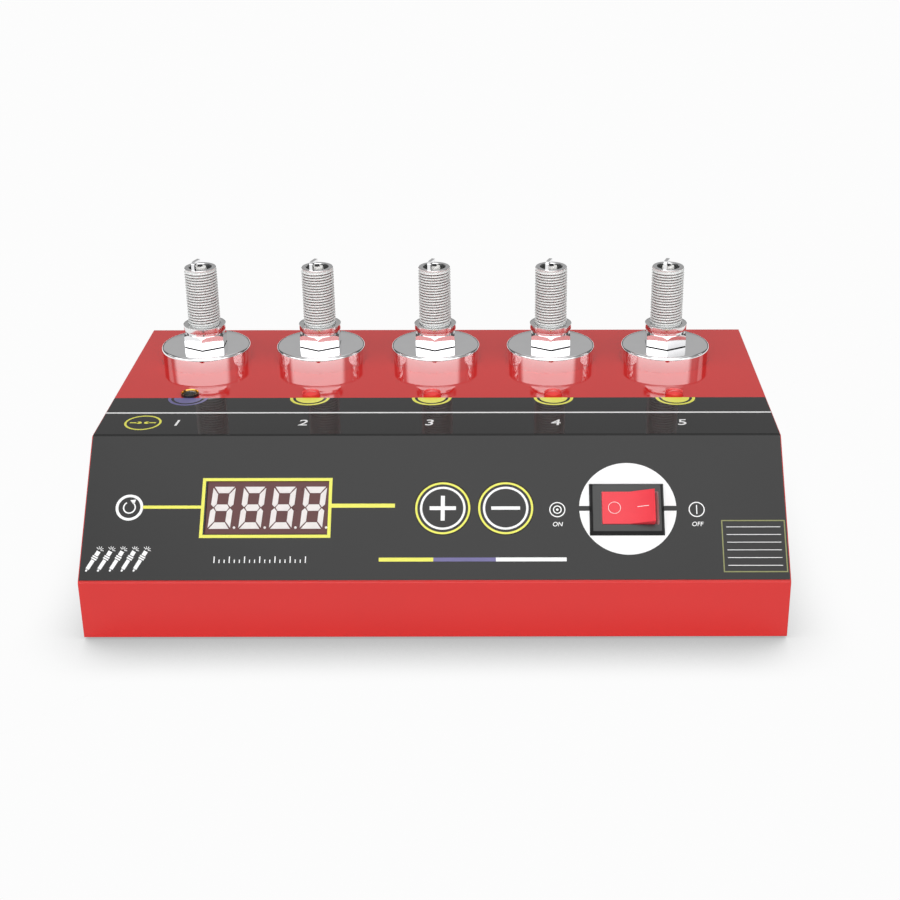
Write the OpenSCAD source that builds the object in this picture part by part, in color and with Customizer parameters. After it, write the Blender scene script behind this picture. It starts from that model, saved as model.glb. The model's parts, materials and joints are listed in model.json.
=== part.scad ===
// Bench tester for spark plugs: a sheet-steel console with a sloping control panel and a row of chrome
// holders that take the plugs upside down, each over its own ignition coil.
// Millimetres. X runs to the right, Y to the back and Z up from the surface that the feet stand on.

/* [Case] */
// Width of the case
case_w = 280; // [270:1:320]
// Depth of the case, front to back
case_d = 173.5; // [171:0.5:200]
// Height of the case from its lower edge to its top
case_h = 68; // [66:1:78]
// Height of the upright front lip
lip_h = 24.5; // [22:0.5:27]
// Depth over which the control panel slopes up
slope_run = 44.5; // [42:0.5:47]
// Thickness of the steel sheet
sheet_t = 1.2; // [1:0.1:1.4]
// Outer radius of the sheet's bends
bend_r = 1.7; // [1.6:0.1:2.4]
// Gap between the base plate and the walls
base_gap = 0.3; // [0.2:0.05:0.6]
// Length of the welded tabs that take the base screws
tab_l = 10; // [9:0.5:12]
// Width of these tabs
tab_w = 12; // [9:0.5:16]
// Thickness of these tabs
tab_t = 4; // [3:0.5:5]
// Distance of the outer tabs from the front and back
tab_inset = 34; // [30:1:44]
// Count of ventilation slots in the back
vent_count = 8; // [4:1:10]
// Spacing of these slots
vent_pitch = 7; // [6:0.5:8]
// Width of a slot
vent_w = 3; // [2:0.5:4]
// Height of a slot
vent_h = 24; // [16:1:32]
// Height of a foot
foot_h = 1; // [1:0.5:4]
// Radius of a foot
foot_r = 7; // [5:0.5:8]
// Distance of a foot's centre from the edges of the base plate
foot_inset = 14; // [12:1:20]

/* [Overlays] */
// Thickness of the printed films
film_t = 0.4; // [0.2:0.1:0.6]
// Gap between a film and the bends of the sheet
film_gap = 0.25; // [0.2:0.05:0.6]
// Gap between a film and the sides of the case
film_side = 0.4; // [0.3:0.1:2]
// Distance from the front to the back edge of the top film
film_back = 84.7; // [80:0.1:88]

/* [Display] */
// Place of the display along the panel
display_x = -67.05; // [-72:0.05:-66]
// Place of the display up the slope
display_s = 31.15; // [30:0.05:33]
// Width of the display module
display_w = 48.7; // [48:0.1:52]
// Height of the display module
display_h = 22; // [21:0.1:24]
// Depth of the display module
display_depth = 8; // [7:0.5:9]
// Count of digits
digit_count = 4; // [3:1:4]
// Height of a digit
digit_h = 17.8; // [14:0.1:19]
// Width of a digit
digit_w = 8.9; // [7:0.1:9.2]
// Spacing of the digits
digit_pitch = 12.2; // [11.5:0.1:12.4]
// Sideways lean of the digits for each millimetre of height
digit_lean = 0.08; // [0:0.01:0.1]
// Thickness of the level light bars
bar_level = 2.7; // [2:0.1:3]
// Thickness of the upright light bars
bar_upright = 2.2; // [1.6:0.1:2.6]
// Gap between neighbouring light bars
bar_gap = 0.45; // [0.2:0.05:0.5]
// Radius of a decimal point
point_r = 0.5; // [0.4:0.05:0.7]
// Height of the light bars above the module's face
bar_t = 0.2; // [0.1:0.05:0.3]

/* [Keys] */
// Place of the plus key along the panel
plus_x = 2.9; // [2:0.1:4]
// Place of the minus key along the panel
minus_x = 28; // [27.5:0.1:30]
// Place of the keys up the slope
key_s = 30.8; // [28:0.2:32]
// Radius of a key
key_r = 11.2; // [10:0.1:11.4]
// Gap around a key
key_gap = 0.2; // [0.15:0.05:0.4]
// Width of the rim that holds a key under the panel
key_rim_w = 0.5; // [0.4:0.1:0.6]
// Thickness of that rim
key_rim_t = 1; // [0.8:0.1:1.4]
// Radius of the stem under a key
key_stem_r = 2.5; // [2:0.1:4]
// Travel of a key
key_travel = 0.5; // [0.3:0.1:0.6]
// Side of a push switch's body
tact_w = 6.2; // [6:0.1:8]
// Height of a push switch's body
tact_h = 3.4; // [3:0.1:3.8]
// Radius of its plunger
plunger_r = 1.75; // [1.2:0.05:2]
// Length of plunger inside the push switch
plunger_depth = 1.6; // [1.2:0.1:1.8]

/* [Rocker switch] */
// Place of the switch along the panel
switch_x = 76.3; // [75:0.1:80]
// Place of the switch up the slope
switch_s = 30.1; // [28:0.1:32]
// Width of the bezel
bezel_w = 29.8; // [29.6:0.1:32]
// Height of the bezel
bezel_h = 21.9; // [21:0.1:23]
// Thickness of the bezel
bezel_t = 2; // [1.8:0.1:2.5]
// Inward lean of the bezel's sides
bezel_lean = 1.3; // [0.6:0.1:1.3]
// Width of the switch body behind the panel
switch_w = 27; // [26.8:0.1:27.2]
// Height of the switch body
switch_h = 18.4; // [18.2:0.1:19]
// Depth of the switch body behind the panel's outer face
switch_depth = 15; // [14.5:0.5:17]
// Gap between the switch body and its cut-out
switch_gap = 0.2; // [0.1:0.05:0.4]
// Length of each face of the rocker
rocker_l = 10.75; // [10:0.05:10.8]
// Height of the rocker, along its pivot
rocker_h = 13.5; // [12:0.1:13.6]
// Angle that the rocker turns through
rocker_throw = 20; // [16:1:20]
// Distance of the pivot to the right of the bezel's middle
pivot_shift = 1.2; // [0:0.1:1.2]
// Depth of the pivot under the rocker's valley
pivot_depth = 2.25; // [2.2:0.05:2.6]
// How far the pressed side stays proud of the bezel
rocker_proud = 0.2; // [0.1:0.05:0.4]
// Depth of the rocker's skirt under the pivot
skirt_depth = 5.5; // [4:0.5:7]
// Gap around the rocker
rocker_gap = 0.3; // [0.25:0.05:0.35]
// Radius of the pivot pins
pivot_r = 1.2; // [1:0.05:1.25]
// Length of a pivot pin
pivot_l = 1.3; // [1:0.1:1.3]
// Running clearance of the pivot pins
pivot_clear = 0.06; // [0.03:0.01:0.08]
// Length of the switch's terminal blades
blade_l = 8; // [6:0.5:9]
// Width of a blade
blade_w = 6.3; // [4.8:0.1:6.3]
// Thickness of a blade
blade_t = 0.8; // [0.5:0.1:1]
// Spacing of the two blades and of the two mains leads
lead_pitch = 14; // [12:0.5:14]

/* [Plug holders] */
// Count of holders
station_count = 5; // [3:1:5]
// Spacing of the holders
station_pitch = 52.25; // [50:0.05:53]
// Place of the middle of the row along the case
row_x = -3.55; // [-5:0.05:0]
// Distance of the row from the back of the case
row_back = 39.5; // [35:0.1:41]
// Radius of a holder's disc
disc_r = 20; // [18:0.5:22]
// Height of a holder's disc
disc_h = 7.2; // [5:0.1:8]
// Radius of the disc's rounded upper edge
disc_round = 1.5; // [0.8:0.1:2]
// Radius of the threaded neck through the case
neck_r = 12; // [11.5:0.1:13]
// Length of the neck under the case's top face
neck_l = 9; // [7.5:0.5:11]
// Clearance of the neck in the case and in its nut
neck_gap = 0.1; // [0.05:0.05:0.2]
// Size of the nut across its flats
nut_af = 30; // [28:0.5:32]
// Height of the nut
nut_h = 5; // [4:0.5:6]
// Outer radius of the insulating tube
tube_r = 9; // [8.8:0.1:9.4]
// Bore radius of the insulating tube
tube_bore_r = 6.6; // [6.3:0.1:7]
// Thickness of the tube's floor
tube_floor = 3; // [2:0.5:4]
// Clearance of pieces fitted into each other inside a holder or a plug
seat_gap = 0.1; // [0.05:0.01:0.15]
// Height of the contact cup's wall
cup_h = 8; // [6:0.5:10]
// Thickness of the contact cup's floor
cup_floor = 2; // [1.5:0.5:3]
// Radius of the stud under the contact cup
stud_r = 2; // [1.5:0.1:2.5]
// Length of stud in the coil's tower
stud_depth = 5; // [3:0.5:5.5]

/* [Spark plugs] */
// Size of the hexagon across its flats
hex_af = 17.5; // [16:0.1:20.8]
// Height of the hexagon
hex_h = 6.6; // [5.5:0.1:9]
// Radius of the seat under the hexagon
seat_r = 8.15; // [8.1:0.05:8.3]
// Height of that seat
seat_h = 0.4; // [0.2:0.05:0.6]
// Height of the chamfer at the hexagon's upper corners
hex_chamfer = 1.8; // [0.8:0.1:2]
// Radius of the flange between hexagon and gasket
flange_r = 8.4; // [8:0.1:8.7]
// Height of that flange
flange_h = 0.7; // [0.5:0.1:1.5]
// Outer radius of the gasket
gasket_r = 9.45; // [8.8:0.05:10.4]
// Thickness of the gasket
gasket_t = 2.6; // [1.5:0.1:3]
// Radius of the thread
thread_r = 7; // [6.8:0.05:7.2]
// Reach of the thread
reach = 26.5; // [19:0.5:26.5]
// Height of the chamfer on the firing end's rim
rim_chamfer = 0.5; // [0.3:0.1:0.8]
// Bore radius of the shell at the firing end
nose_bore_r = 4.9; // [4.7:0.1:5.2]
// Bore radius of the shell inside the hexagon
body_bore_r = 6.1; // [5.9:0.05:6.3]
// Radius of the collar rolled over under the hexagon
collar_r = 7.5; // [7.2:0.1:7.8]
// Height of that collar
collar_h = 4.5; // [3.5:0.1:5.5]
// Gap between the collar and the holder's bore
collar_gap = 0.35; // [0.3:0.05:0.5]
// Distance from the gasket's face to the terminal's end
terminal_reach = 53; // [50:0.5:54]
// Length of the terminal nut
terminal_l = 9; // [8:0.5:10]
// Radius of the terminal nut
terminal_r = 3.2; // [2.8:0.1:3.4]
// Radius of the insulator's outer part
insulator_r = 5.6; // [5:0.1:5.8]
// Count of grooves round the insulator
groove_count = 4; // [2:1:5]
// Spacing of these grooves
groove_pitch = 4; // [3:0.2:4.4]
// Depth of these grooves
groove_depth = 0.6; // [0.3:0.1:0.8]
// Radius of the insulator's nose at its tip
nose_r = 2.6; // [2:0.1:2.8]
// Height of the nose above the rim
nose_rise = 0.2; // [0:0.1:1.5]
// Radius of the centre electrode
core_r = 1.1; // [0.8:0.1:1.4]
// Gap between centre electrode and earth strap
spark_gap = 1.4; // [0.6:0.1:1.8]
// Height of the earth strap above the rim
strap_rise = 3.9; // [3.6:0.1:5]
// Width of the earth strap
strap_w = 1.5; // [1.4:0.1:2.6]
// Thickness of the earth strap
strap_t = 1.2; // [1:0.1:1.4]
// Distance of the strap's end from the plug's axis
strap_end = 0.8; // [0:0.1:1.5]
// Distance of the strap's middle from the plug's axis
strap_r = 5.8; // [5.6:0.1:6]
// Angle of the strap, from straight ahead towards the left
strap_turn = 19; // [0:1:45]

/* [Lamps] */
// Outer radius of a lamp's bezel
lamp_bezel_r = 4.1; // [4:0.05:4.6]
// Height of the bezel above the case
lamp_bezel_h = 1.35; // [1:0.05:1.8]
// Width of the bezel's upper edge
lamp_lip = 0.15; // [0.1:0.05:0.3]
// Height of the seat inside the bezel that carries the lens
lamp_seat = 0.25; // [0.2:0.05:0.3]
// Radius of the bezel's barrel through the case
lamp_barrel_r = 3.7; // [3.5:0.05:3.8]
// Length of the barrel under the case's outer face
lamp_barrel_l = 4; // [3:0.5:5]
// Radius of a lamp's body
lamp_r = 3; // [2.6:0.05:3.1]
// Radius of a lamp's lens
lens_r = 3.5; // [3.4:0.05:3.6]
// Height of the lens's edge above the case
lens_edge = 0.5; // [0.45:0.05:0.6]
// Height of the lens's dome above its edge
lens_rise = 1; // [0.8:0.1:1.4]
// Depth of the lamp board under the case's outer face
lamp_depth = 8; // [7:0.5:10]
// Width of the lamp board
lamp_board_w = 10; // [9:0.5:12]

/* [Boards and supply] */
// Thickness of the circuit boards
board_t = 1.6; // [1:0.1:2]
// Width of the control board
control_w = 156; // [154:1:160]
// Height of the control board
control_h = 40; // [38:1:42]
// Place of the control board's middle along the panel
control_x = -26; // [-28:0.5:-24]
// Place of the control board's middle up the slope
control_s = 30; // [29:0.5:31]
// Radius of the posts that carry the boards
post_r = 3; // [2.6:0.1:3.4]
// Distance of the posts from a board's edges
post_inset = 5; // [4:0.5:6]
// Width of the main board
main_w = 248; // [240:1:250]
// Distance from the front of the case to the main board
main_front = 46; // [44:1:48]
// Gap between the main board and the back of the case
main_back = 6; // [5:0.5:10]
// Height of the main board above the base plate
main_post_h = 5; // [4:0.5:6]
// Radius of an ignition coil
coil_r = 14.6; // [12:0.1:15]
// Chamfer round the top of a coil
coil_chamfer = 1.2; // [0.5:0.1:2]
// Radius of a coil's tower
tower_r = 7.5; // [6:0.5:9]
// Height of a coil's tower above the coil's body
tower_h = 6.3; // [6:0.1:8]
// Width of the power module
module_w = 52; // [40:1:56]
// Depth of the power module
module_d = 34; // [26:1:36]
// Height of the power module
module_h = 20; // [16:1:22]
// Place of the power module along the case
module_x = -70; // [-80:1:-60]
// Gap between the power module and the coils behind it
module_gap = 12.7; // [8:0.1:16]
// Width of the ribbon cable
ribbon_w = 16; // [10:1:20]
// Thickness of the ribbon cable
ribbon_t = 0.9; // [0.8:0.1:1.2]
// Place of the ribbon cable along the case
ribbon_x = -20; // [-26:1:-16]
// Place up the slope where the ribbon leaves the control board
ribbon_s = 42; // [40:0.5:44]
// Straight run of the ribbon behind the control board
ribbon_run = 16; // [14:0.5:20]
// Bend radius of the ribbon
ribbon_bend = 10; // [8:0.5:14]
// Radius of a mains lead
lead_r = 1.2; // [0.8:0.1:1.4]
// Radius of the boot over a lead's end
boot_r = 2.3; // [2:0.1:2.6]
// Length of that boot
boot_l = 6; // [5:0.5:8]

/* [Power inlet] */
// Width of the inlet's flange
inlet_w = 50; // [48:0.5:54]
// Height of the inlet's flange
inlet_h = 25; // [24:0.5:28]
// Thickness of the inlet's flange
inlet_t = 3; // [2.5:0.1:4]
// Corner radius of the flange
inlet_corner = 4; // [2:0.5:6]
// Width of the recess
recess_w = 24; // [23.5:0.1:25]
// Height of the recess
recess_h = 16.5; // [16:0.1:17]
// Depth of the recess
recess_depth = 15; // [14:0.5:16]
// Cut at the recess's two upper corners
recess_cut = 4.5; // [3.5:0.1:5]
// Thickness of the inlet's walls behind the panel
inlet_wall = 1.6; // [1.2:0.1:2]
// Height of the earth blade above the other two
earth_rise = 4; // [3:0.1:4.5]
// Length of the blades inside the recess
prong_l = 12; // [10:0.5:13]
// Length of the blades behind the inlet
prong_tail = 8; // [6:0.5:10]
// Width of a blade in the inlet
prong_w = 2; // [1.8:0.1:2.2]
// Height of a blade in the inlet
prong_h = 4; // [3.8:0.1:4.2]
// Spacing of the flange's two screws
inlet_pitch = 40; // [38:0.5:42]

/* [Screws] */
// Radius of the screws
screw_r = 1.5; // [1.25:0.05:1.5]
// Length of a screw's shank
screw_l = 5; // [4:0.1:5]
// Head radius of the countersunk screws
sunk_r = 2.6; // [2.4:0.1:2.65]
// Head radius of the pan-head screws
pan_r = 2.75; // [2.4:0.05:3]
// Head height of the pan-head screws
pan_h = 1.8; // [1.4:0.1:2.2]
// Clearance round a screw
screw_gap = 0.06; // [0.04:0.01:0.1]

/* [Hidden] */
$fn = 64;
// How far a cut runs past the face that it opens
past = 1;
// Steps in a small rounded corner
bend_steps = 6;
// Small flats that touch: the play between a moving face and its stop
touch = 0.05;

slope_a = atan2(case_h - lip_h, slope_run);
bend_low = bend_r * tan((90 - slope_a) / 2);
bend_high = bend_r * tan(slope_a / 2);
film_w = case_w - 2 * film_side;
overall_d = case_d + inlet_t;

row_y = case_d - row_back;
stations = [for (i = [1 : station_count]) row_x + (i - (station_count + 1) / 2) * station_pitch];
lamp_y = film_back + film_gap + lamp_bezel_r;
lens_dome_r = (lens_r * lens_r + lens_rise * lens_rise) / (2 * lens_rise);
lamp_post_x = [stations[0] + station_pitch / 2, stations[station_count - 2] + station_pitch / 2];
lamp_board_l = (station_count - 1) * station_pitch + 2 * lamp_board_w;

display_face = film_t - bar_t;
control_n = display_face - display_depth;
control_posts = [for (i = [-1, 1], j = [-1, 1])
    [control_x + i * (control_w / 2 - post_inset), control_s + j * (control_h / 2 - post_inset)]];
stem_end = control_n + tact_h + key_travel + 2 * touch;
rim_under = -sheet_t - touch;

half_throw = rocker_throw / 2;
pivot_n = film_t + bezel_t + rocker_proud - pivot_depth * cos(half_throw);
rocker_r = norm([rocker_l + pivot_depth * sin(half_throw), pivot_depth * cos(half_throw)]);
rocker_end = rocker_l * cos(rocker_throw) - pivot_depth * sin(half_throw);

ring_top = hex_h + flange_h + gasket_t;
rim_z = ring_top + reach;
terminal_z = ring_top - terminal_reach;
insulator_end = terminal_z + terminal_l;
electrode_top = rim_z + strap_rise - strap_t - spark_gap;
cup_z = disc_h + terminal_z - touch;
tube_end = cup_z - cup_floor - tube_floor;

main_z = sheet_t + main_post_h + board_t;
main_d = case_d - sheet_t - main_back - main_front;
main_y = main_front + main_d / 2;
main_posts = [for (i = [-1, 1], j = [-1, 1])
    [i * (main_w / 2 - post_inset), main_y + j * (main_d / 2 - post_inset)]];
coil_top = case_h + tube_end - touch - main_z;
module_y = row_y - coil_r - module_gap - module_d / 2;

tab_places = [for (i = [-1, 1], y = [tab_inset, case_d / 2, case_d - tab_inset])
    [i * (case_w / 2 - sheet_t - tab_l / 2), y]];
foot_places = [for (i = [-1, 1], j = [-1, 1])
    [i * (case_w / 2 - sheet_t - base_gap - foot_inset),
     case_d / 2 + j * (case_d / 2 - sheet_t - base_gap - foot_inset)]];

blade_end = switch_depth + blade_l;
lead_start = [switch_s * cos(slope_a) + blade_end * sin(slope_a),
              lip_h + switch_s * sin(slope_a) - blade_end * cos(slope_a)];
lead_knee = lead_start + boot_l * [sin(slope_a), -cos(slope_a)];
inlet_z = lead_knee[1] + earth_rise / 2;
inlet_depth = recess_depth - inlet_t + inlet_wall;
lead_run = case_d - inlet_depth - prong_tail - lead_knee[0];
ribbon_n = board_t - control_n;
ribbon_start = [ribbon_s * cos(slope_a) + ribbon_n * sin(slope_a),
                lip_h + ribbon_s * sin(slope_a) - ribbon_n * cos(slope_a)];
ribbon_centre = ribbon_start + ribbon_run * [sin(slope_a), -cos(slope_a)]
                - ribbon_bend * [cos(slope_a), sin(slope_a)];

// Frames

// From the case's front lower edge to the middle of the standing surface
module in_case() translate([0, -overall_d / 2, foot_h]) children();

// On the slope: x along it, s up it and n out of its face
module on_slope(x, s, n = 0)
    in_case() translate([x, 0, lip_h]) rotate([slope_a, 0, 0]) translate([0, s, n]) children();

// On the case's top face
module on_top(x, y, n = 0) in_case() translate([x, y, case_h + n]) children();

// On the disc of one holder
module on_disc(i) on_top(stations[i - 1], row_y, disc_h) children();

// On the back, seen from behind: the child's Z points out of the case
module on_back(x, z) in_case() translate([x, case_d, z]) rotate([90, 0, 180]) children();

// Shared shapes

function unit(v) = v / norm(v);

// Arc that rounds the corner b of the path a-b-c
function round_corner(a, b, c, r) =
    let (u = unit(a - b), v = unit(c - b), half = acos(u * v) / 2)
    let (o = b + unit(u + v) * r / sin(half))
    let (p = b + u * r / tan(half) - o, q = b + v * r / tan(half) - o)
    let (start = atan2(p[1], p[0]), turn = (atan2(q[1], q[0]) - start + 900) % 360 - 180)
    [for (k = [0 : bend_steps])
        o + r * [cos(start + turn * k / bend_steps), sin(start + turn * k / bend_steps)]];

// Corners of the case's side outline, t inside its outer faces
function knee(t) = [t, lip_h - t * tan((90 - slope_a) / 2)];
function brow(t) = [slope_run + t * tan(slope_a / 2), case_h - t];
function rear(t) = [case_d - t, case_h - t];
function brow_arc(t, r) = round_corner(knee(t), brow(t), rear(t), r);

// Side outline of the case, t inside its outer faces and down to z
function case_outline(t, r, z) =
    concat([[t, z]], round_corner([t, z], knee(t), brow(t), r), brow_arc(t, r),
           round_corner(brow(t), rear(t), [case_d - t, z], r), [[case_d - t, z]]);

module case_solid(t, r, z)
    in_case() rotate([90, 0, 90]) linear_extrude(case_w - 2 * t, center = true)
        polygon(case_outline(t, r, z));

// Box centred on X and Y that stands on Z = 0
module slab(w, d, h) translate([-w / 2, -d / 2, 0]) cube([w, d, h]);

// Slab with true round corners
module round_slab(w, d, h, r) {
    slab(w - 2 * r, d, h);
    slab(w, d - 2 * r, h);
    for (i = [-1, 1], j = [-1, 1])
        translate([i * (w / 2 - r), j * (d / 2 - r), 0]) cylinder(r = r, h = h);
}

// Slab whose sides lean in by lean on the way up
module leaning_slab(w, d, h, lean) {
    intersection() {
        rotate([90, 0, 0]) linear_extrude(d, center = true)
            polygon([[-w / 2, 0], [w / 2, 0], [w / 2 - lean, h], [lean - w / 2, h]]);
        rotate([90, 0, 90]) linear_extrude(w, center = true)
            polygon([[-d / 2, 0], [d / 2, 0], [d / 2 - lean, h], [lean - d / 2, h]]);
    }
}

// Hole for a screw of this part, down from Z = 0
module screw_hole(l) translate([0, 0, -l]) cylinder(r = screw_r + screw_gap, h = l + past);

// Countersunk screw whose head lies flush with Z = 0
module sunk_screw() rotate_extrude() polygon([
    [0, -screw_l], [screw_r, -screw_l], [screw_r, screw_r - sunk_r], [sunk_r, 0], [0, 0]]);

// Hole for that screw, which opens past Z = 0
module sunk_hole() rotate_extrude() polygon([
    [0, -screw_l - past], [screw_r + screw_gap, -screw_l - past],
    [screw_r + screw_gap, screw_r - sunk_r], [sunk_r + screw_gap, 0], [sunk_r + screw_gap, past],
    [0, past]]);

// Pan-head screw that sits on Z = 0
module pan_screw() rotate_extrude() polygon([
    [0, -screw_l], [screw_r, -screw_l], [screw_r, 0], [pan_r, 0], [pan_r, pan_h], [0, pan_h]]);

// Case

module cover_metal() {
    difference() {
        case_solid(0, bend_r, 0);
        case_solid(sheet_t, bend_r - sheet_t, -past);
    }
    for (p = tab_places) in_case() translate([p[0], p[1], sheet_t]) slab(tab_l + sheet_t, tab_w, tab_t);
    for (p = control_posts)
        on_slope(p[0], p[1], control_n) cylinder(r = post_r, h = -control_n - sheet_t / 2);
    for (x = lamp_post_x)
        on_top(x, lamp_y, -lamp_depth) cylinder(r = post_r, h = lamp_depth - sheet_t / 2);
}

module panel_cuts(depth) {
    on_slope(display_x, display_s, -depth)
        slab(display_w + 2 * switch_gap, display_h + 2 * switch_gap, 2 * depth);
    for (x = [plus_x, minus_x])
        on_slope(x, key_s, -depth) cylinder(r = key_r + key_gap, h = 2 * depth);
    on_slope(switch_x, switch_s, -depth)
        slab(switch_w + 2 * switch_gap, switch_h + 2 * switch_gap, 2 * depth);
}

module vent() {
    slab(vent_w, vent_h - vent_w, 2 * sheet_t);
    for (j = [-1, 1]) translate([0, j * (vent_h - vent_w) / 2, 0]) cylinder(d = vent_w, h = 2 * sheet_t);
}

module back_cuts() {
    on_back(switch_x, inlet_z) translate([0, 0, -2 * sheet_t])
        slab(recess_w + 2 * inlet_wall + 2 * switch_gap, recess_h + 2 * inlet_wall + 2 * switch_gap,
             4 * sheet_t);
    for (i = [-1, 1])
        on_back(switch_x + i * inlet_pitch / 2, inlet_z) screw_hole(2 * sheet_t);
    for (k = [1 : vent_count])
        on_back(-switch_x + (k - (vent_count + 1) / 2) * vent_pitch, case_h / 2)
            translate([0, 0, -1.5 * sheet_t]) vent();
}

module top_cover() color([0.82, 0.17, 0.16]) difference() {
    cover_metal();
    panel_cuts(2 * sheet_t);
    back_cuts();
    for (x = stations) {
        on_top(x, row_y, -2 * sheet_t) cylinder(r = neck_r + neck_gap, h = 4 * sheet_t);
        on_top(x, lamp_y, -2 * sheet_t) cylinder(r = lamp_barrel_r + neck_gap, h = 4 * sheet_t);
    }
    for (p = control_posts) on_slope(p[0], p[1], control_n) mirror([0, 0, 1]) screw_hole(screw_l);
    for (x = lamp_post_x) on_top(x, lamp_y, -lamp_depth) mirror([0, 0, 1]) screw_hole(screw_l);
    for (p = tab_places) in_case() translate([p[0], p[1], sheet_t + tab_t]) screw_hole(tab_t);
}

module base_plate() color([0.35, 0.36, 0.38]) difference() {
    union() {
        in_case() translate([0, case_d / 2, 0])
            slab(case_w - 2 * (sheet_t + base_gap), case_d - 2 * (sheet_t + base_gap), sheet_t);
        for (p = main_posts)
            in_case() translate([p[0], p[1], sheet_t / 2])
                cylinder(r = post_r, h = main_post_h + sheet_t / 2);
    }
    for (p = tab_places) in_case() translate([p[0], p[1], 0]) mirror([0, 0, 1]) sunk_hole();
    for (p = main_posts) in_case() translate([p[0], p[1], main_z - board_t]) screw_hole(screw_l);
}

module case_screws() color([0.6, 0.6, 0.62]) {
    for (p = tab_places) in_case() translate([p[0], p[1], 0]) mirror([0, 0, 1]) sunk_screw();
    for (i = [-1, 1])
        on_back(switch_x + i * inlet_pitch / 2, inlet_z) translate([0, 0, inlet_t]) sunk_screw();
}

module rubber_feet() color([0.1, 0.1, 0.1])
    for (p = foot_places) in_case() translate([p[0], p[1], -foot_h])
        cylinder(r1 = foot_r - foot_h / 4, r2 = foot_r, h = foot_h);

// Overlays

// Side outline of the front film, which wraps the bend at the slope's upper end
function film_outline() =
    let (start = [0, lip_h] + (bend_low + film_gap) * [cos(slope_a), sin(slope_a)])
    let (outer = brow_arc(-film_t, bend_r + film_t))
    concat([start], brow_arc(0, bend_r), [for (k = [bend_steps : -1 : 0]) outer[k]],
           [start + film_t * [-sin(slope_a), cos(slope_a)]]);

module front_overlay() color([0.28, 0.28, 0.28]) difference() {
    in_case() rotate([90, 0, 90]) linear_extrude(film_w, center = true) polygon(film_outline());
    panel_cuts(2 * sheet_t);
}

module top_overlay() color([0.26, 0.26, 0.26])
    on_top(-film_w / 2, slope_run + bend_high + film_gap)
        cube([film_w, film_back - slope_run - bend_high - film_gap, film_t]);

// Display

// Light bars of one digit, from its lower left corner: top, middle and one upright
function top_bar() =
    [[bar_gap, digit_h], [digit_w - bar_gap, digit_h],
     [digit_w - bar_upright - bar_gap / 2, digit_h - bar_level],
     [bar_upright + bar_gap / 2, digit_h - bar_level]];

function middle_bar() =
    let (a = bar_upright / 2 + bar_gap, b = bar_upright + bar_gap / 2, m = digit_h / 2)
    [[a, m], [b, m + bar_level / 2], [digit_w - b, m + bar_level / 2],
     [digit_w - a, m], [digit_w - b, m - bar_level / 2], [b, m - bar_level / 2]];

function upright_bar() =
    let (m = digit_h / 2)
    [[0, digit_h - bar_gap], [bar_upright, digit_h - bar_level - bar_gap],
     [bar_upright, m + bar_level / 2 + bar_gap / 2], [bar_upright / 2, m + bar_gap / 2],
     [0, m + bar_level / 2]];

function across(bar) = [for (p = bar) [digit_w - p[0], p[1]]];
function down(bar) = [for (p = bar) [p[0], digit_h - p[1]]];
function leaning(bar) = [for (p = bar) [p[0] + p[1] * digit_lean, p[1]]];

module digit() {
    for (bar = [top_bar(), down(top_bar()), middle_bar(), upright_bar(), across(upright_bar()),
                down(upright_bar()), down(across(upright_bar()))])
        linear_extrude(bar_t) polygon(leaning(bar));
    translate([(digit_pitch + digit_w) / 2, point_r, 0]) cylinder(r = point_r, h = bar_t);
}

module display_segments() color([0.9, 0.88, 0.88])
    for (k = [0 : digit_count - 1])
        on_slope(display_x - ((digit_count - 1) * digit_pitch + digit_w + digit_h * digit_lean) / 2
                 + k * digit_pitch, display_s - digit_h / 2, display_face) digit();

module display_module() color([0.42, 0.28, 0.28])
    on_slope(display_x, display_s, control_n) slab(display_w, display_h, display_depth);

// Keys and their board

module key(x) on_slope(x, key_s) rotate_extrude() polygon([
    [0, stem_end], [key_stem_r, stem_end], [key_stem_r, rim_under - key_rim_t],
    [key_r + key_gap + key_rim_w, rim_under - key_rim_t], [key_r + key_gap + key_rim_w, rim_under],
    [key_r, rim_under], [key_r, film_t], [0, film_t]]);

module plunger(x)
    on_slope(x, key_s, control_n + tact_h - plunger_depth)
        cylinder(r = plunger_r, h = stem_end - control_n - tact_h + plunger_depth);

module plus_key() color([0.28, 0.28, 0.28]) key(plus_x);
module minus_key() color([0.28, 0.28, 0.28]) key(minus_x);
module plus_plunger() color([0.15, 0.15, 0.15]) plunger(plus_x);
module minus_plunger() color([0.15, 0.15, 0.15]) plunger(minus_x);

module tact_switches() color([0.2, 0.2, 0.2])
    for (x = [plus_x, minus_x]) on_slope(x, key_s, control_n) difference() {
        slab(tact_w, tact_w, tact_h);
        translate([0, 0, tact_h - plunger_depth - key_travel - touch])
            cylinder(r = plunger_r + touch, h = plunger_depth + key_travel + past);
    }

module control_board() color([0.05, 0.35, 0.2]) difference() {
    on_slope(control_x, control_s, control_n - board_t) slab(control_w, control_h, board_t);
    for (p = control_posts) on_slope(p[0], p[1], control_n) screw_hole(2 * board_t);
}

module board_screws() color([0.7, 0.7, 0.72]) {
    for (p = control_posts) on_slope(p[0], p[1], control_n - board_t) mirror([0, 0, 1]) pan_screw();
    for (x = lamp_post_x) on_top(x, lamp_y, -lamp_depth - board_t) mirror([0, 0, 1]) pan_screw();
    for (p = main_posts) in_case() translate([p[0], p[1], main_z]) pan_screw();
}

// Rocker switch

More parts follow.
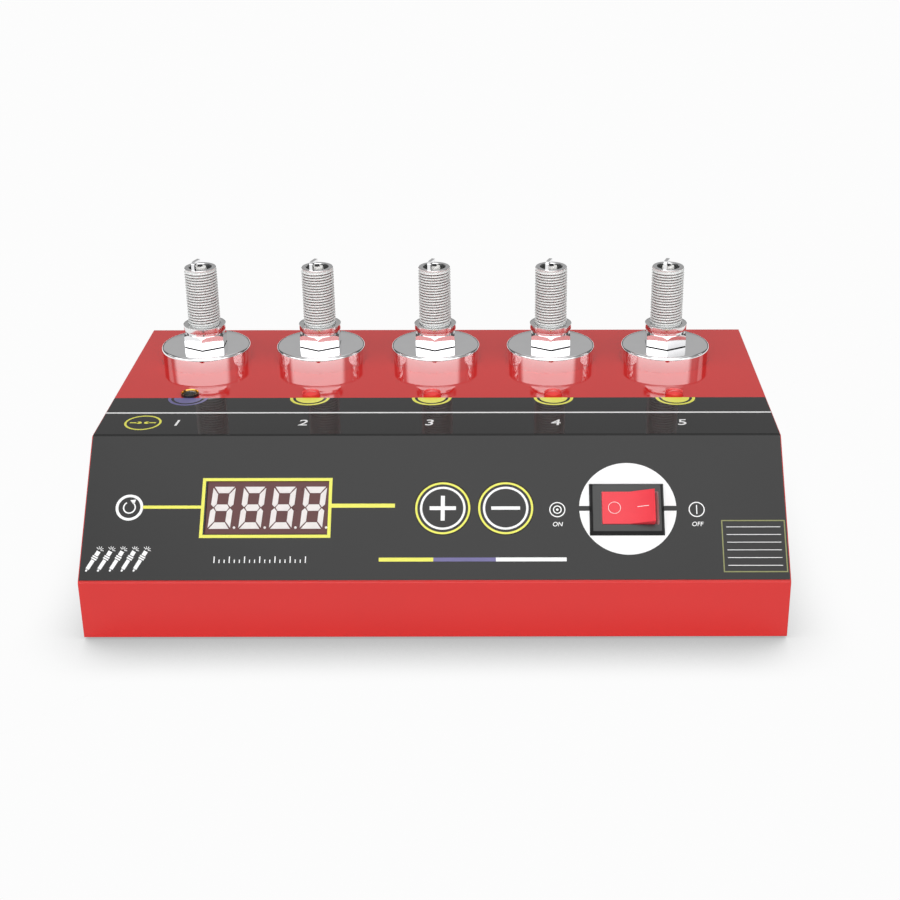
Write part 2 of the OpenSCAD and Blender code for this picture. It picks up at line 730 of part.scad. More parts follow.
// Bezel and body; the cavity's ends flare up as far as the pressed side of the rocker leans out
module switch_housing() color([0.2, 0.2, 0.2]) difference() {
    union() {
        on_slope(switch_x, switch_s, film_t) leaning_slab(bezel_w, bezel_h, bezel_t, bezel_lean);
        on_slope(switch_x, switch_s, -switch_depth)
            slab(switch_w, switch_h, switch_depth + film_t + bezel_t / 2);
    }
    on_slope(switch_x + pivot_shift, switch_s, pivot_n) rotate([90, 0, 0]) {
        wall = rocker_end + rocker_gap;
        knee_z = -wall * tan(half_throw);
        top_z = film_t + bezel_t - pivot_n + past;
        flare = (top_z - knee_z) * tan(rocker_throw);
        linear_extrude(rocker_h + 2 * rocker_gap, center = true)
            polygon([[-wall, -rocker_r], [wall, -rocker_r], [wall, knee_z], [wall + flare, top_z],
                     [-wall - flare, top_z], [-wall, knee_z]]);
        cylinder(r = pivot_r + pivot_clear, h = rocker_h + 2 * (pivot_l + rocker_gap), center = true);
    }
}

// Two faces that meet in a valley over a skirt whose ends stay within the circle of the tips; the left
// side is pressed, and the end of the raised side stands upright
module switch_rocker() color([0.93, 0.2, 0.25])
    on_slope(switch_x + pivot_shift, switch_s, pivot_n) rotate([90, 0, 0]) {
        valley = pivot_depth * [-sin(half_throw), cos(half_throw)];
        low = valley - [rocker_l, 0];
        high = valley + rocker_l * [cos(rocker_throw), sin(rocker_throw)];
        linear_extrude(rocker_h, center = true)
            polygon([valley, low, [low[0] + (low[1] + skirt_depth) * tan(rocker_throw), -skirt_depth],
                     [rocker_end, -skirt_depth], high]);
        cylinder(r = pivot_r, h = rocker_h + 2 * pivot_l, center = true);
    }

module switch_terminals() color([0.8, 0.65, 0.35])
    for (i = [-1, 1])
        on_slope(switch_x + i * lead_pitch / 2, switch_s, -blade_end) slab(blade_t, blade_w, blade_l);

// Plug holders

module plug_holder(i) color([0.72, 0.72, 0.74]) on_top(stations[i - 1], row_y) rotate_extrude()
    polygon(concat(
        [[collar_r + collar_gap, 0], [tube_r + seat_gap, 0], [tube_r + seat_gap, -neck_l],
         [neck_r, -neck_l], [neck_r, 0], [disc_r, 0]],
        round_corner([disc_r, 0], [disc_r, disc_h], [0, disc_h], disc_round),
        [[collar_r + collar_gap, disc_h]]));

module holder_nuts() color([0.62, 0.62, 0.64])
    for (x = stations) on_top(x, row_y, -sheet_t - nut_h) difference() {
        cylinder(d = nut_af / cos(30), h = nut_h, $fn = 6);
        translate([0, 0, -past]) cylinder(r = neck_r + neck_gap, h = nut_h + 2 * past);
    }

module socket_insulators() color([0.25, 0.17, 0.12])
    for (x = stations) on_top(x, row_y) rotate_extrude() polygon([
        [stud_r + seat_gap, tube_end], [tube_r, tube_end], [tube_r, -touch], [tube_bore_r, -touch],
        [tube_bore_r, tube_end + tube_floor], [stud_r + seat_gap, tube_end + tube_floor]]);

module socket_contacts() color([0.8, 0.65, 0.35])
    for (x = stations) on_top(x, row_y) rotate_extrude() polygon([
        [0, tube_end - stud_depth], [stud_r, tube_end - stud_depth], [stud_r, cup_z - cup_floor],
        [tube_bore_r - seat_gap, cup_z - cup_floor], [tube_bore_r - seat_gap, cup_z + cup_h],
        [terminal_r + collar_gap, cup_z + cup_h], [terminal_r + collar_gap, cup_z], [0, cup_z]]);

// Spark plugs, from the disc that the hexagon stands on

module hexagon() intersection() {
    corner = hex_af / 2 / cos(30);
    rotate([0, 0, 30]) cylinder(r = corner, h = hex_h, $fn = 6);
    rotate_extrude() polygon([[0, seat_h], [corner, seat_h], [corner, hex_h - hex_chamfer],
                              [corner - hex_chamfer, hex_h], [0, hex_h]]);
}

module earth_strap() {
    outer = strap_r + strap_t / 2;
    top = rim_z + strap_rise;
    foot = rim_z - rim_chamfer - strap_t / 2;
    rotate([0, 0, -90 - strap_turn]) rotate([90, 0, 0]) linear_extrude(strap_w, center = true)
        polygon(concat(
            [[outer - strap_t, foot], [outer, foot]],
            round_corner([outer, foot], [outer, top], [0, top], 1.5 * strap_t),
            [[strap_end, top], [strap_end, top - strap_t]],
            round_corner([0, top - strap_t], [outer - strap_t, top - strap_t], [outer - strap_t, foot],
                         strap_t / 2)));
}

module plug_shell(i) color([0.75, 0.75, 0.77]) on_disc(i) {
    difference() {
        union() {
            hexagon();
            translate([0, 0, -collar_h]) cylinder(r = collar_r, h = collar_h + hex_h);
            cylinder(r = seat_r, h = hex_h);
            translate([0, 0, hex_h / 2]) cylinder(r = flange_r, h = hex_h / 2 + flange_h);
            cylinder(r = thread_r, h = rim_z - rim_chamfer);
            translate([0, 0, rim_z - rim_chamfer])
                cylinder(r1 = thread_r, r2 = thread_r - rim_chamfer, h = rim_chamfer);
        }
        rotate_extrude() polygon([[0, -collar_h - past], [body_bore_r, -collar_h - past],
            [body_bore_r, hex_h], [nose_bore_r, ring_top + flange_h], [nose_bore_r, rim_z + past],
            [0, rim_z + past]]);
    }
    earth_strap();
}

module plug_gasket(i) color([0.78, 0.78, 0.8]) on_disc(i) translate([0, 0, hex_h + flange_h])
    rotate_extrude() polygon(concat([[thread_r + seat_gap, 0]],
        round_corner([0, 0], [gasket_r, 0], [gasket_r, gasket_t], gasket_t / 6),
        round_corner([gasket_r, 0], [gasket_r, gasket_t], [0, gasket_t], gasket_t / 6),
        [[thread_r + seat_gap, gasket_t]]));

module plug_insulator(i) color([0.95, 0.94, 0.92]) on_disc(i) rotate_extrude() polygon(concat(
    [[core_r + seat_gap, rim_z + nose_rise], [nose_r, rim_z + nose_rise],
     [nose_bore_r - seat_gap, rim_z - reach / 2], [nose_bore_r - seat_gap, ring_top + flange_h],
     [body_bore_r - seat_gap, hex_h], [body_bore_r - seat_gap, -collar_h],
     [insulator_r, -collar_h - groove_pitch / 2]],
    [for (k = [1 : groove_count], step = [0 : 3])
        [insulator_r - ((step == 1 || step == 2) ? groove_depth : 0),
         -collar_h - groove_pitch * (k + step / 6)]],
    [[insulator_r, insulator_end + groove_pitch], [terminal_r + groove_depth, insulator_end],
     [core_r + seat_gap, insulator_end]]));

module plug_core(i) color([0.55, 0.55, 0.57]) on_disc(i) rotate_extrude() polygon([
    [0, electrode_top], [core_r, electrode_top], [core_r, insulator_end], [terminal_r, insulator_end],
    [terminal_r, insulator_end - terminal_l / 3],
    [terminal_r - groove_depth, insulator_end - terminal_l / 2],
    [terminal_r, insulator_end - 2 * terminal_l / 3], [terminal_r, terminal_z + groove_depth],
    [terminal_r - groove_depth, terminal_z], [0, terminal_z]]);

// Lamps

module lamp(x) on_top(x, lamp_y) {
    translate([0, 0, -lamp_depth]) cylinder(r = lamp_r, h = lamp_depth + lens_edge);
    intersection() {
        translate([0, 0, lamp_seat + touch]) cylinder(r = lens_r, h = lens_edge + lens_rise);
        translate([0, 0, lens_edge + lens_rise - lens_dome_r]) sphere(r = lens_dome_r);
    }
}

module lamp_bezel(x) on_top(x, lamp_y) rotate_extrude() polygon([
    [lamp_r + seat_gap, -lamp_barrel_l], [lamp_barrel_r, -lamp_barrel_l], [lamp_barrel_r, 0],
    [lamp_bezel_r, 0], [lamp_bezel_r, lamp_bezel_h], [lamp_bezel_r - lamp_lip, lamp_bezel_h],
    [lens_r + seat_gap, lamp_seat], [lamp_r + seat_gap, lamp_seat]]);

module power_lamp() color([0.12, 0.12, 0.12]) lamp(stations[0]);
module power_lamp_bezel() color([0.85, 0.68, 0.35]) lamp_bezel(stations[0]);
module test_lamps() color([0.9, 0.2, 0.2]) for (i = [1 : station_count - 1]) lamp(stations[i]);
module test_lamp_bezels() color([0.85, 0.45, 0.45])
    for (i = [1 : station_count - 1]) lamp_bezel(stations[i]);

module lamp_board() color([0.05, 0.35, 0.2]) difference() {
    on_top(row_x, lamp_y, -lamp_depth - board_t) slab(lamp_board_l, lamp_board_w, board_t);
    for (x = lamp_post_x) on_top(x, lamp_y, -lamp_depth) screw_hole(2 * board_t);
}

// Boards and supply

module main_board() color([0.05, 0.35, 0.2]) difference() {
    in_case() translate([0, main_y, main_z - board_t]) slab(main_w, main_d, board_t);
    for (p = main_posts) in_case() translate([p[0], p[1], main_z]) screw_hole(2 * board_t);
}

module coil() rotate_extrude() polygon([
    [0, 0], [coil_r, 0], [coil_r, coil_top - tower_h - coil_chamfer],
    [coil_r - coil_chamfer, coil_top - tower_h], [tower_r, coil_top - tower_h], [tower_r, coil_top],
    [stud_r + seat_gap, coil_top], [stud_r + seat_gap, coil_top - stud_depth - touch],
    [0, coil_top - stud_depth - touch]]);

module ignition_coils() color([0.15, 0.15, 0.17])
    for (x = stations) in_case() translate([x, row_y, main_z]) coil();

module power_module() color([0.2, 0.2, 0.22]) in_case() translate([module_x, module_y, main_z])
    round_slab(module_w, module_d, module_h, post_r);

// One side of the ribbon's bend, and the end of that side on the control board
function ribbon_side(r, steps) =
    [for (k = steps) r * [cos(slope_a * k / bend_steps), sin(slope_a * k / bend_steps)]];
function ribbon_tip(r) = r * [cos(slope_a), sin(slope_a)] + ribbon_run * [-sin(slope_a), cos(slope_a)];

// Strip that leaves the control board's back and bends down to stand on the main board
module control_ribbon() color([0.7, 0.7, 0.7])
    in_case() translate([ribbon_x, 0, 0]) rotate([90, 0, 90]) translate(ribbon_centre)
        linear_extrude(ribbon_w, center = true) polygon(concat(
            [[ribbon_bend, main_z - ribbon_centre[1]], [ribbon_bend + ribbon_t, main_z - ribbon_centre[1]]],
            ribbon_side(ribbon_bend + ribbon_t, [0 : bend_steps]),
            [ribbon_tip(ribbon_bend + ribbon_t), ribbon_tip(ribbon_bend)],
            ribbon_side(ribbon_bend, [bend_steps : -1 : 0])));

// Forward from the inlet to a boot on the switch's blade
module mains_leads() color([0.5, 0.3, 0.15]) for (i = [-1, 1])
    in_case() translate([switch_x + i * lead_pitch / 2, lead_knee[0], lead_knee[1]]) {
        rotate([-90, 0, 0]) cylinder(r = lead_r, h = lead_run);
        sphere(r = boot_r);
        rotate([slope_a, 0, 0]) cylinder(r = boot_r, h = boot_l);
    }

// Power inlet

module recess() linear_extrude(recess_depth + past) polygon([
    [-recess_w / 2, -recess_h / 2], [recess_w / 2, -recess_h / 2], [recess_w / 2, recess_h / 2 - recess_cut],
    [recess_w / 2 - recess_cut, recess_h / 2], [recess_cut - recess_w / 2, recess_h / 2],
    [-recess_w / 2, recess_h / 2 - recess_cut]]);

module prongs(grow = 0)
    for (p = [[-lead_pitch / 2, -earth_rise / 2], [lead_pitch / 2, -earth_rise / 2], [0, earth_rise / 2]])
        translate([p[0], p[1], -inlet_depth - prong_tail])
            slab(prong_w + 2 * grow, prong_h + 2 * grow, prong_tail + inlet_wall + prong_l);

module power_inlet() color([0.12, 0.12, 0.12]) on_back(switch_x, inlet_z) difference() {
    union() {
        round_slab(inlet_w, inlet_h, inlet_t, inlet_corner);
        translate([0, 0, -inlet_depth])
            slab(recess_w + 2 * inlet_wall, recess_h + 2 * inlet_wall, inlet_depth + inlet_t / 2);
    }
    translate([0, 0, inlet_t - recess_depth]) recess();
    prongs(touch);
    for (i = [-1, 1]) translate([i * inlet_pitch / 2, 0, inlet_t]) sunk_hole();
}

module inlet_blades() color([0.75, 0.75, 0.77]) on_back(switch_x, inlet_z) prongs();

top_cover();
base_plate();
case_screws();
rubber_feet();
front_overlay();
top_overlay();
display_module();
display_segments();
control_board();
board_screws();
plus_key();
minus_key();
plus_plunger();
minus_plunger();
tact_switches();
switch_housing();
switch_rocker();
switch_terminals();
holder_nuts();
socket_insulators();
socket_contacts();
power_lamp();
power_lamp_bezel();
test_lamps();
test_lamp_bezels();
lamp_board();
main_board();
ignition_coils();
power_module();
control_ribbon();
mains_leads();
power_inlet();
inlet_blades();
for (i = [1 : station_count]) {
    plug_holder(i);
    plug_shell(i);
    plug_gasket(i);
    plug_insulator(i);
    plug_core(i);
}
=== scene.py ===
"""Looks of the spark plug tester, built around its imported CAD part. Lengths are in mm until placed."""
import json
import math

import bmesh
import bpy
from mathutils import Matrix, Vector


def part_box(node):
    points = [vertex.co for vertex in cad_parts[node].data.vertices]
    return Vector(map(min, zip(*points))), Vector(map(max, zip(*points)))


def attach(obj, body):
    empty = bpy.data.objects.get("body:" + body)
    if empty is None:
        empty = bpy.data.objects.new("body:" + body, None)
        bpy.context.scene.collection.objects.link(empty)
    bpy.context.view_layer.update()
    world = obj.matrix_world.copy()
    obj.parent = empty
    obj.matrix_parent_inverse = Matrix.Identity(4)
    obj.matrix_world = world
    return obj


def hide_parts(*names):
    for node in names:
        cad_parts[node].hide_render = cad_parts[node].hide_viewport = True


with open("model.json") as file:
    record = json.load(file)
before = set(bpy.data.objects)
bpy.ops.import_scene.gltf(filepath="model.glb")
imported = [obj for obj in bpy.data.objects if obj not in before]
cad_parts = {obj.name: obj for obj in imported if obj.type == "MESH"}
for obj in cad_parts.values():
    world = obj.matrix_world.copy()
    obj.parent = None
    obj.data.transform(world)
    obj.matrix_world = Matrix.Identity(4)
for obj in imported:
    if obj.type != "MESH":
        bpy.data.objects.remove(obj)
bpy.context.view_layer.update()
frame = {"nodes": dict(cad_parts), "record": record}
NODES = frame["nodes"]
MM = 0.001
TAU = 2 * math.pi
CORNER_STEPS, CORNER_SHARE, EASE_ABOVE = 4, 0.48, math.radians(35)

# Places, as in the part's source
CASE_W, CASE_D, CASE_H, SHEET_T = 280.0, 173.5, 68.0, 1.2
LIP_H, SLOPE_RUN, FOOT_H, INLET_T = 24.5, 44.5, 1.0, 3.0
FILM_T, FILM_BACK, FILM_HALF = 0.4, 84.7, 139.6
SLOPE = math.atan2(CASE_H - LIP_H, SLOPE_RUN)
DISC_R, DISC_H, DISC_ROUND = 20.0, 7.2, 1.5
STATIONS = range(1, 6)


def mm_move(x, y, z):
    return Matrix.Translation(Vector((x, y, z)) * MM)


IN_CASE = mm_move(0, -(CASE_D + INLET_T) / 2, FOOT_H)
ON_SLOPE = IN_CASE @ mm_move(0, 0, LIP_H) @ Matrix.Rotation(SLOPE, 4, "X")
ON_TOP = IN_CASE @ mm_move(0, 0, CASE_H)
FACING_DOWN = Matrix.Rotation(math.pi, 4, "X")
FACING_BACK = Matrix.Rotation(math.pi, 4, "Z") @ Matrix.Rotation(math.pi / 2, 4, "X")
UPRIGHT = Matrix.Rotation(math.pi / 2, 4, "X")


def middle(node):
    low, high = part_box(node)
    return (low + high) / 2


def station(i):
    """Middle of a holder's upper face."""
    spot = middle(f"plug_holder_{i}")
    return Vector((spot.x, spot.y, (FOOT_H + CASE_H + DISC_H) * MM))


# Materials
def rgb(r, g, b):
    """Linear colour of an sRGB one in 0 to 255."""
    return tuple((c / 255 / 12.92) if c <= 10 else ((c / 255 + 0.055) / 1.055) ** 2.4 for c in (r, g, b))


def times(colour, factor):
    return tuple(min(1.0, c * factor) for c in colour) + (1.0,)


RAMP_STOPS, ROUGH_SPREAD = (0.3, 0.7), 0.2


class Finish:
    """A Principled material whose colour, roughness and relief come from procedural noise."""

    def __init__(self, name, colour, rough, metal=0.0, vary=0.06, scale=60.0, stretch=(1, 1, 1), **sockets):
        self.name = name
        self.mat = bpy.data.materials.new(name)
        self.mat.use_nodes = True
        self.tree = self.mat.node_tree
        self.shader = self.tree.nodes["Principled BSDF"]
        self.shader.inputs["Metallic"].default_value = metal
        for socket, value in sockets.items():
            self.shader.inputs[socket.replace("_", " ")].default_value = value
        self.coords = self.add("ShaderNodeTexCoord").outputs["Object"]
        cloud = self.noise(scale, stretch)
        ramp = self.add("ShaderNodeValToRGB")
        for stop, place, shade in zip(ramp.color_ramp.elements, RAMP_STOPS, (1 - vary, 1 + vary)):
            stop.position, stop.color = place, times(colour, shade)
        self.link(cloud, ramp.inputs["Fac"])
        self.link(ramp.outputs["Color"], self.shader.inputs["Base Color"])
        spread = self.add("ShaderNodeMapRange")
        spread.inputs["To Min"].default_value = rough * (1 - ROUGH_SPREAD)
        spread.inputs["To Max"].default_value = rough * (1 + ROUGH_SPREAD)
        self.link(cloud, spread.inputs["Value"])
        self.link(spread.outputs["Result"], self.shader.inputs["Roughness"])

    def add(self, kind):
        return self.tree.nodes.new(kind)

    def link(self, out, into):
        self.tree.links.new(out, into)

    def noise(self, scale, stretch=(1, 1, 1), detail=4.0):
        place = self.add("ShaderNodeMapping")
        place.inputs["Scale"].default_value = stretch
        self.link(self.coords, place.inputs["Vector"])
        cloud = self.add("ShaderNodeTexNoise")
        cloud.inputs["Scale"].default_value = scale
        cloud.inputs["Detail"].default_value = detail
        self.link(place.outputs["Vector"], cloud.inputs["Vector"])
        return cloud.outputs["Fac"]

    def relief(self, scale, height, stretch=(1, 1, 1), edge=0.0):
        """Fine bumps of that height in mm, and corners that catch the light over edge mm."""
        bump = self.add("ShaderNodeBump")
        bump.inputs["Distance"].default_value = height * MM
        self.link(self.noise(scale, stretch, 2.0), bump.inputs["Height"])
        if edge:
            corner = self.add("ShaderNodeBevel")
            corner.samples = 4
            corner.inputs["Radius"].default_value = edge * MM
            self.link(corner.outputs["Normal"], bump.inputs["Normal"])
        self.link(bump.outputs["Normal"], self.shader.inputs["Normal"])
        return self


def board_finish():
    """Green solder mask with a lighter pattern of tracks."""
    mask = rgb(22, 92, 58)
    made = Finish("circuit_board", mask, 0.35, vary=0.15, scale=90)
    tracks = made.add("ShaderNodeTexBrick")
    tracks.inputs["Scale"].default_value = 220
    tracks.inputs["Mortar Size"].default_value = 0.03
    for socket, colour in (("Color1", mask), ("Color2", rgb(26, 104, 66)), ("Mortar", rgb(60, 140, 84))):
        tracks.inputs[socket].default_value = times(colour, 1)
    made.link(made.coords, tracks.inputs["Vector"])
    made.link(tracks.outputs["Color"], made.shader.inputs["Base Color"])
    return made.relief(900, 0.02)


FINISHES = {made.name: made for made in (
    Finish("red_paint", rgb(214, 36, 33), 0.04, vary=0.025, scale=14).relief(650, 0.0012, edge=0.35),
    Finish("base_paint", rgb(84, 86, 90), 0.45, vary=0.08, scale=200).relief(2500, 0.03),
    Finish("plated_steel", rgb(176, 176, 180), 0.28, 1, vary=0.08, scale=300).relief(1500, 0.01),
    Finish("foot_rubber", rgb(38, 38, 38), 0.8, vary=0.2, scale=500).relief(2200, 0.05),
    Finish("film", rgb(27, 27, 27), 0.045, vary=0.06, scale=25,
           Specular_IOR_Level=0.34).relief(700, 0.0006),
    Finish("display_face", rgb(98, 60, 60), 0.3, vary=0.05, scale=200,
           Specular_IOR_Level=0.3).relief(1800, 0.004),
    Finish("light_bar", rgb(232, 226, 224), 0.35, vary=0.04, scale=350).relief(1500, 0.005),
    board_finish(),
    Finish("switch_plastic", rgb(57, 58, 58), 0.34, vary=0.06, scale=400).relief(3000, 0.01),
    # Pale plastic on the cavity's flaring wall: painted light that lifts the shade in that narrow wedge.
    Finish("throat_painted_light", rgb(214, 215, 215), 0.6, vary=0.06, scale=400).relief(3000, 0.01),
    # The bezel's leaning sides and the cavity are the face's plastic, painted darker as shade.
    Finish("bezel_painted_shade", rgb(27, 27, 28), 0.4, vary=0.08, scale=400,
           Specular_IOR_Level=0.2).relief(3000, 0.01),
    Finish("rocker_plastic", rgb(239, 64, 76), 0.24, vary=0.03, scale=150,
           Specular_IOR_Level=0.3).relief(1200, 0.003),
    Finish("contact_metal", rgb(214, 184, 120), 0.25, 1, vary=0.08, scale=200).relief(1500, 0.01),
    Finish("chrome_plate", rgb(245, 245, 246), 0.03, 1, vary=0.015, scale=120).relief(400, 0.0005),
    Finish("nickel_plate", rgb(240, 240, 241), 0.07, 1, vary=0.03, scale=350).relief(900, 0.0015),
    Finish("gasket_steel", rgb(238, 238, 238), 0.16, 1, vary=0.03, scale=350).relief(900, 0.002),
    # Pale flank and dark root of the thread are lit and shaded copies of the plated steel: painted sheen and
    # painted shade.
    Finish("thread_flank_lit", rgb(238, 240, 239), 0.4, 0.1, vary=0.03, scale=500).relief(2000, 0.002),
    Finish("thread_shade", rgb(78, 80, 80), 0.6, vary=0.06, scale=500).relief(2000, 0.004),
    Finish("ceramic", rgb(252, 251, 248), 0.2, vary=0.03, scale=250).relief(900, 0.004),
    Finish("electrode_metal", rgb(52, 52, 55), 0.45, 0.4, vary=0.1, scale=700).relief(2500, 0.01),
    Finish("insulating_tube", rgb(98, 68, 48), 0.4, vary=0.12, scale=220).relief(1600, 0.02),
    Finish("dark_lens", rgb(34, 34, 33), 0.08, vary=0.1, scale=300).relief(800, 0.003),
    Finish("gilt_bezel", rgb(222, 170, 86), 0.1, 1, vary=0.05, scale=400).relief(1200, 0.003),
    Finish("red_lens", rgb(238, 58, 56), 0.08, vary=0.05, scale=300).relief(800, 0.003),
    Finish("red_bezel", rgb(238, 92, 90), 0.1, vary=0.05, scale=400).relief(1200, 0.003),
    Finish("coil_resin", rgb(40, 40, 44), 0.2, vary=0.1, scale=150).relief(900, 0.02),
    Finish("module_case", rgb(46, 46, 48), 0.42, vary=0.08, scale=300).relief(2600, 0.02, edge=0.3),
    Finish("cable", rgb(176, 176, 178), 0.5, vary=0.12, scale=260,
           stretch=(4, 0.3, 0.3)).relief(900, 0.05),
    Finish("lead_cover", rgb(146, 104, 66), 0.45, vary=0.08, scale=300).relief(1600, 0.02),
)}
INKS = {ink: Finish(f"ink_{ink}", colour, 0.3, vary=vary, scale=300).relief(1800, 0.002)
        for ink, colour, vary in (
            ("white", rgb(250, 250, 250), 0.015), ("yellow", rgb(237, 235, 92), 0.02),
            ("purple", rgb(108, 102, 154), 0.03), ("olive", rgb(140, 142, 86), 0.03))}
for entry in frame["record"]["subparts"]:
    NODES[entry["node"]].data.materials.clear()
    NODES[entry["node"]].data.materials.append(FINISHES[entry["material_slot"]].mat)


# Meshes
def to_mesh(bm, name, sharp=30):
    """Closes a bmesh in mm into a mesh in metres, smooth up to that angle."""
    bmesh.ops.recalc_face_normals(bm, faces=bm.faces)
    mesh = bpy.data.meshes.new(name)
    bm.to_mesh(mesh)
    bm.free()
    mesh.transform(Matrix.Scale(MM, 4))
    mesh.shade_smooth()
    mesh.set_sharp_from_angle(angle=math.radians(sharp))
    return mesh


def piece(name, mesh, finish, body, place, replaces=()):
    """Adds a mesh as a piece that rides on a body."""
    if not mesh.materials:
        mesh.materials.append(finish.mat)
    made = bpy.data.objects.new(name, mesh)
    bpy.context.scene.collection.objects.link(made)
    made.matrix_world = place
    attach(made, body)
    if replaces:
        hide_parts(*replaces)
    return made


def dress(mesh, *names):
    """Gives a mesh several finishes, in the order of its faces' material numbers."""
    for name in names:
        mesh.materials.append(FINISHES[name].mat)
    return mesh


def rounded(points, radius, steps=4, loop=False):
    """A path whose corners are eased over that radius; a radius may be given for each point."""
    count = len(points)
    radii = radius if isinstance(radius, (list, tuple)) else [radius] * count
    path = []
    for k, (point, r) in enumerate(zip(points, radii)):
        here = Vector(point)
        if r == 0 or (not loop and k in (0, count - 1)):
            path.append(tuple(here))
            continue
        back, on = Vector(points[k - 1]) - here, Vector(points[(k + 1) % count]) - here
        half = back.angle(on) / 2
        reach = min(r / math.tan(half), CORNER_SHARE * back.length, CORNER_SHARE * on.length)
        a, c = here + back.normalized() * reach, here + on.normalized() * reach
        for t in (j / steps for j in range(steps + 1)):
            path.append(tuple(a * (1 - t) ** 2 + here * 2 * t * (1 - t) + c * t * t))
    return path


def ring(bm, radius, height, steps):
    """Ring of vertices; radius and height may be functions of the angle. A zero radius is one vertex."""
    if radius == 0:
        return [bm.verts.new((0, 0, height))]
    made = []
    for k in range(steps):
        a = TAU * k / steps
        r = radius(a) if callable(radius) else radius
        z = height(a) if callable(height) else height
        made.append(bm.verts.new((r * math.cos(a), r * math.sin(a), z)))
    return made


def bridge(bm, low, high):
    """Faces between two rings."""
    steps = max(len(low), len(high))
    for k in range(steps):
        j = (k + 1) % steps
        corners = []
        for v in (low[k % len(low)], low[j % len(low)], high[j % len(high)], high[k % len(high)]):
            if v not in corners:
                corners.append(v)
        bm.faces.new(corners)


def lathe(name, profile, steps=96, loop=False, sharp=30):
    """Turned mesh from a profile of (radius, height); either may be a function of the angle."""
    bm = bmesh.new()
    rings = [ring(bm, r, z, steps) for r, z in profile]
    for low, high in zip(rings, rings[1:] + (rings[:1] if loop else [])):
        bridge(bm, low, high)
    return to_mesh(bm, name, sharp)


def loft(bm, rings):
    """Skin over rings of as many points each, with flat ends. Gives the faces of each step."""
    rows = [[bm.verts.new(point) for point in line] for line in rings]
    count = len(rows[0])
    steps = [[bm.faces.new((a[k], a[(k + 1) % count], b[(k + 1) % count], b[k])) for k in range(count)]
             for a, b in zip(rows, rows[1:])]
    bm.faces.new(rows[0][::-1])
    bm.faces.new(rows[-1])
    return steps


def soft_box(w, h, r, z, x=0.0):
    """Rectangle with round corners at one height, about a middle at x."""
    corners = [(x - w / 2, -h / 2), (x + w / 2, -h / 2), (x + w / 2, h / 2), (x - w / 2, h / 2)]
    return [(px, py, z) for px, py in rounded(corners, r, CORNER_STEPS, True)]


def ease_edges(bm, size):
    """Rounds a mesh's sharp edges."""
    sharp = [e for e in bm.edges if e.calc_face_angle(0) > EASE_ABOVE]
    bmesh.ops.bevel(bm, geom=sharp, offset=size, segments=3, affect="EDGES", profile=0.6)


def prism(bm, outline, low, high, turn=Matrix.Identity(4)):
    """Closed prism of a flat outline between two heights."""
    bottom = [bm.verts.new(turn @ Vector((x, y, low))) for x, y in outline]
    top = [bm.verts.new(turn @ Vector((x, y, high))) for x, y in outline]
    bm.faces.new(bottom[::-1])
    bm.faces.new(top)
    for k in range(len(outline)):
        j = (k + 1) % len(outline)
        bm.faces.new((bottom[k], bottom[j], top[j], top[k]))


# Spark plugs
HEX_FLATS, HEX_H, HEX_CHAMFER, HAIR = 17.5, 5.9, 0.9, 0.02
SEAT_R, SEAT_H = 8.1, 0.375
FLANGE_R, FLANGE_H = 8.4, 1.4
GASKET_R, GASKET_T, GASKET_BORE, GASKET_TAPER, GASKET_EDGE = 9.45, 2.6, 7.1, 0.18, 0.12
RING_TOP = HEX_H + FLANGE_H + GASKET_T
RIM_Z = RING_TOP + 26.5
NECK_TOP_R, THREAD_R, THREAD_DEPTH, THREAD_PITCH = 6.98, 7.2, 0.8, 1.25
THREAD_START, THREAD_STOP, END_GAP, RUN_OUT, END_R = 0.15, 0.25, 0.1, 0.35, THREAD_R - 0.3
RIM_CHAMFER, RIM_SIDE, RIM_DROP, RIM_FACE = 0.5, 0.2, 0.12, 0.35
COLLAR_R, COLLAR_H, COLLAR_EDGE = 7.5, 4.5, 0.5
BODY_BORE, NOSE_BORE, BORE_EDGE, TOUCH = 6.1, 4.9, 0.25, 0.01
STRAP_R, STRAP_RISE, STRAP_W, STRAP_T = 5.8, 3.9, 1.5, 1.2
STRAP_TURN, STRAP_END, STRAP_EDGE = 19.0, 0.8, 0.15
NOSE_R, NOSE_RISE, NOSE_ROUND, NOSE_FLARE, NOSE_FOOT, NOSE_ROOT = 2.6, 0.4, 0.7, 0.3, 2.4, 3.6
CORE_R, CORE_EDGE, SPARK_GAP, SEAT_GAP = 1.1, 0.2, 1.8, 0.1
INSULATOR_R, GROOVE_COUNT, GROOVE_PITCH, GROOVE_DEPTH = 5.6, 4, 4.0, 0.6
TERMINAL_REACH, TERMINAL_L, TERMINAL_R = 53.0, 9.0, 3.2
PLUG_STEPS, PITCH_STEPS, DARK_ROWS, CREST_FLAT = 96, 8, (0, 7), 1.15
# Slots of the painted shade and of the pale, lit flank.
SHADE_SLOT, FLANK_SLOT = 1, 2
HEX_CORNER = HEX_FLATS / 2 / math.cos(math.pi / 6)


def hex_radius(a):
    """Distance from the axis to the hexagon at an angle, with a corner straight ahead."""
    off = (a + math.pi / 2) % (TAU / 6) - TAU / 12
    return HEX_FLATS / 2 / math.cos(off)


def hex_high(a):
    """Upper end of the hexagon's sides, under the chamfer that rounds its corners off."""
    return min(HEX_H - HAIR, HEX_H - HEX_CHAMFER + HEX_CORNER - hex_radius(a))


def hex_top(a):
    """Edge of the hexagon's upper face."""
    return min(hex_radius(a) - HAIR, HEX_CORNER - HEX_CHAMFER)


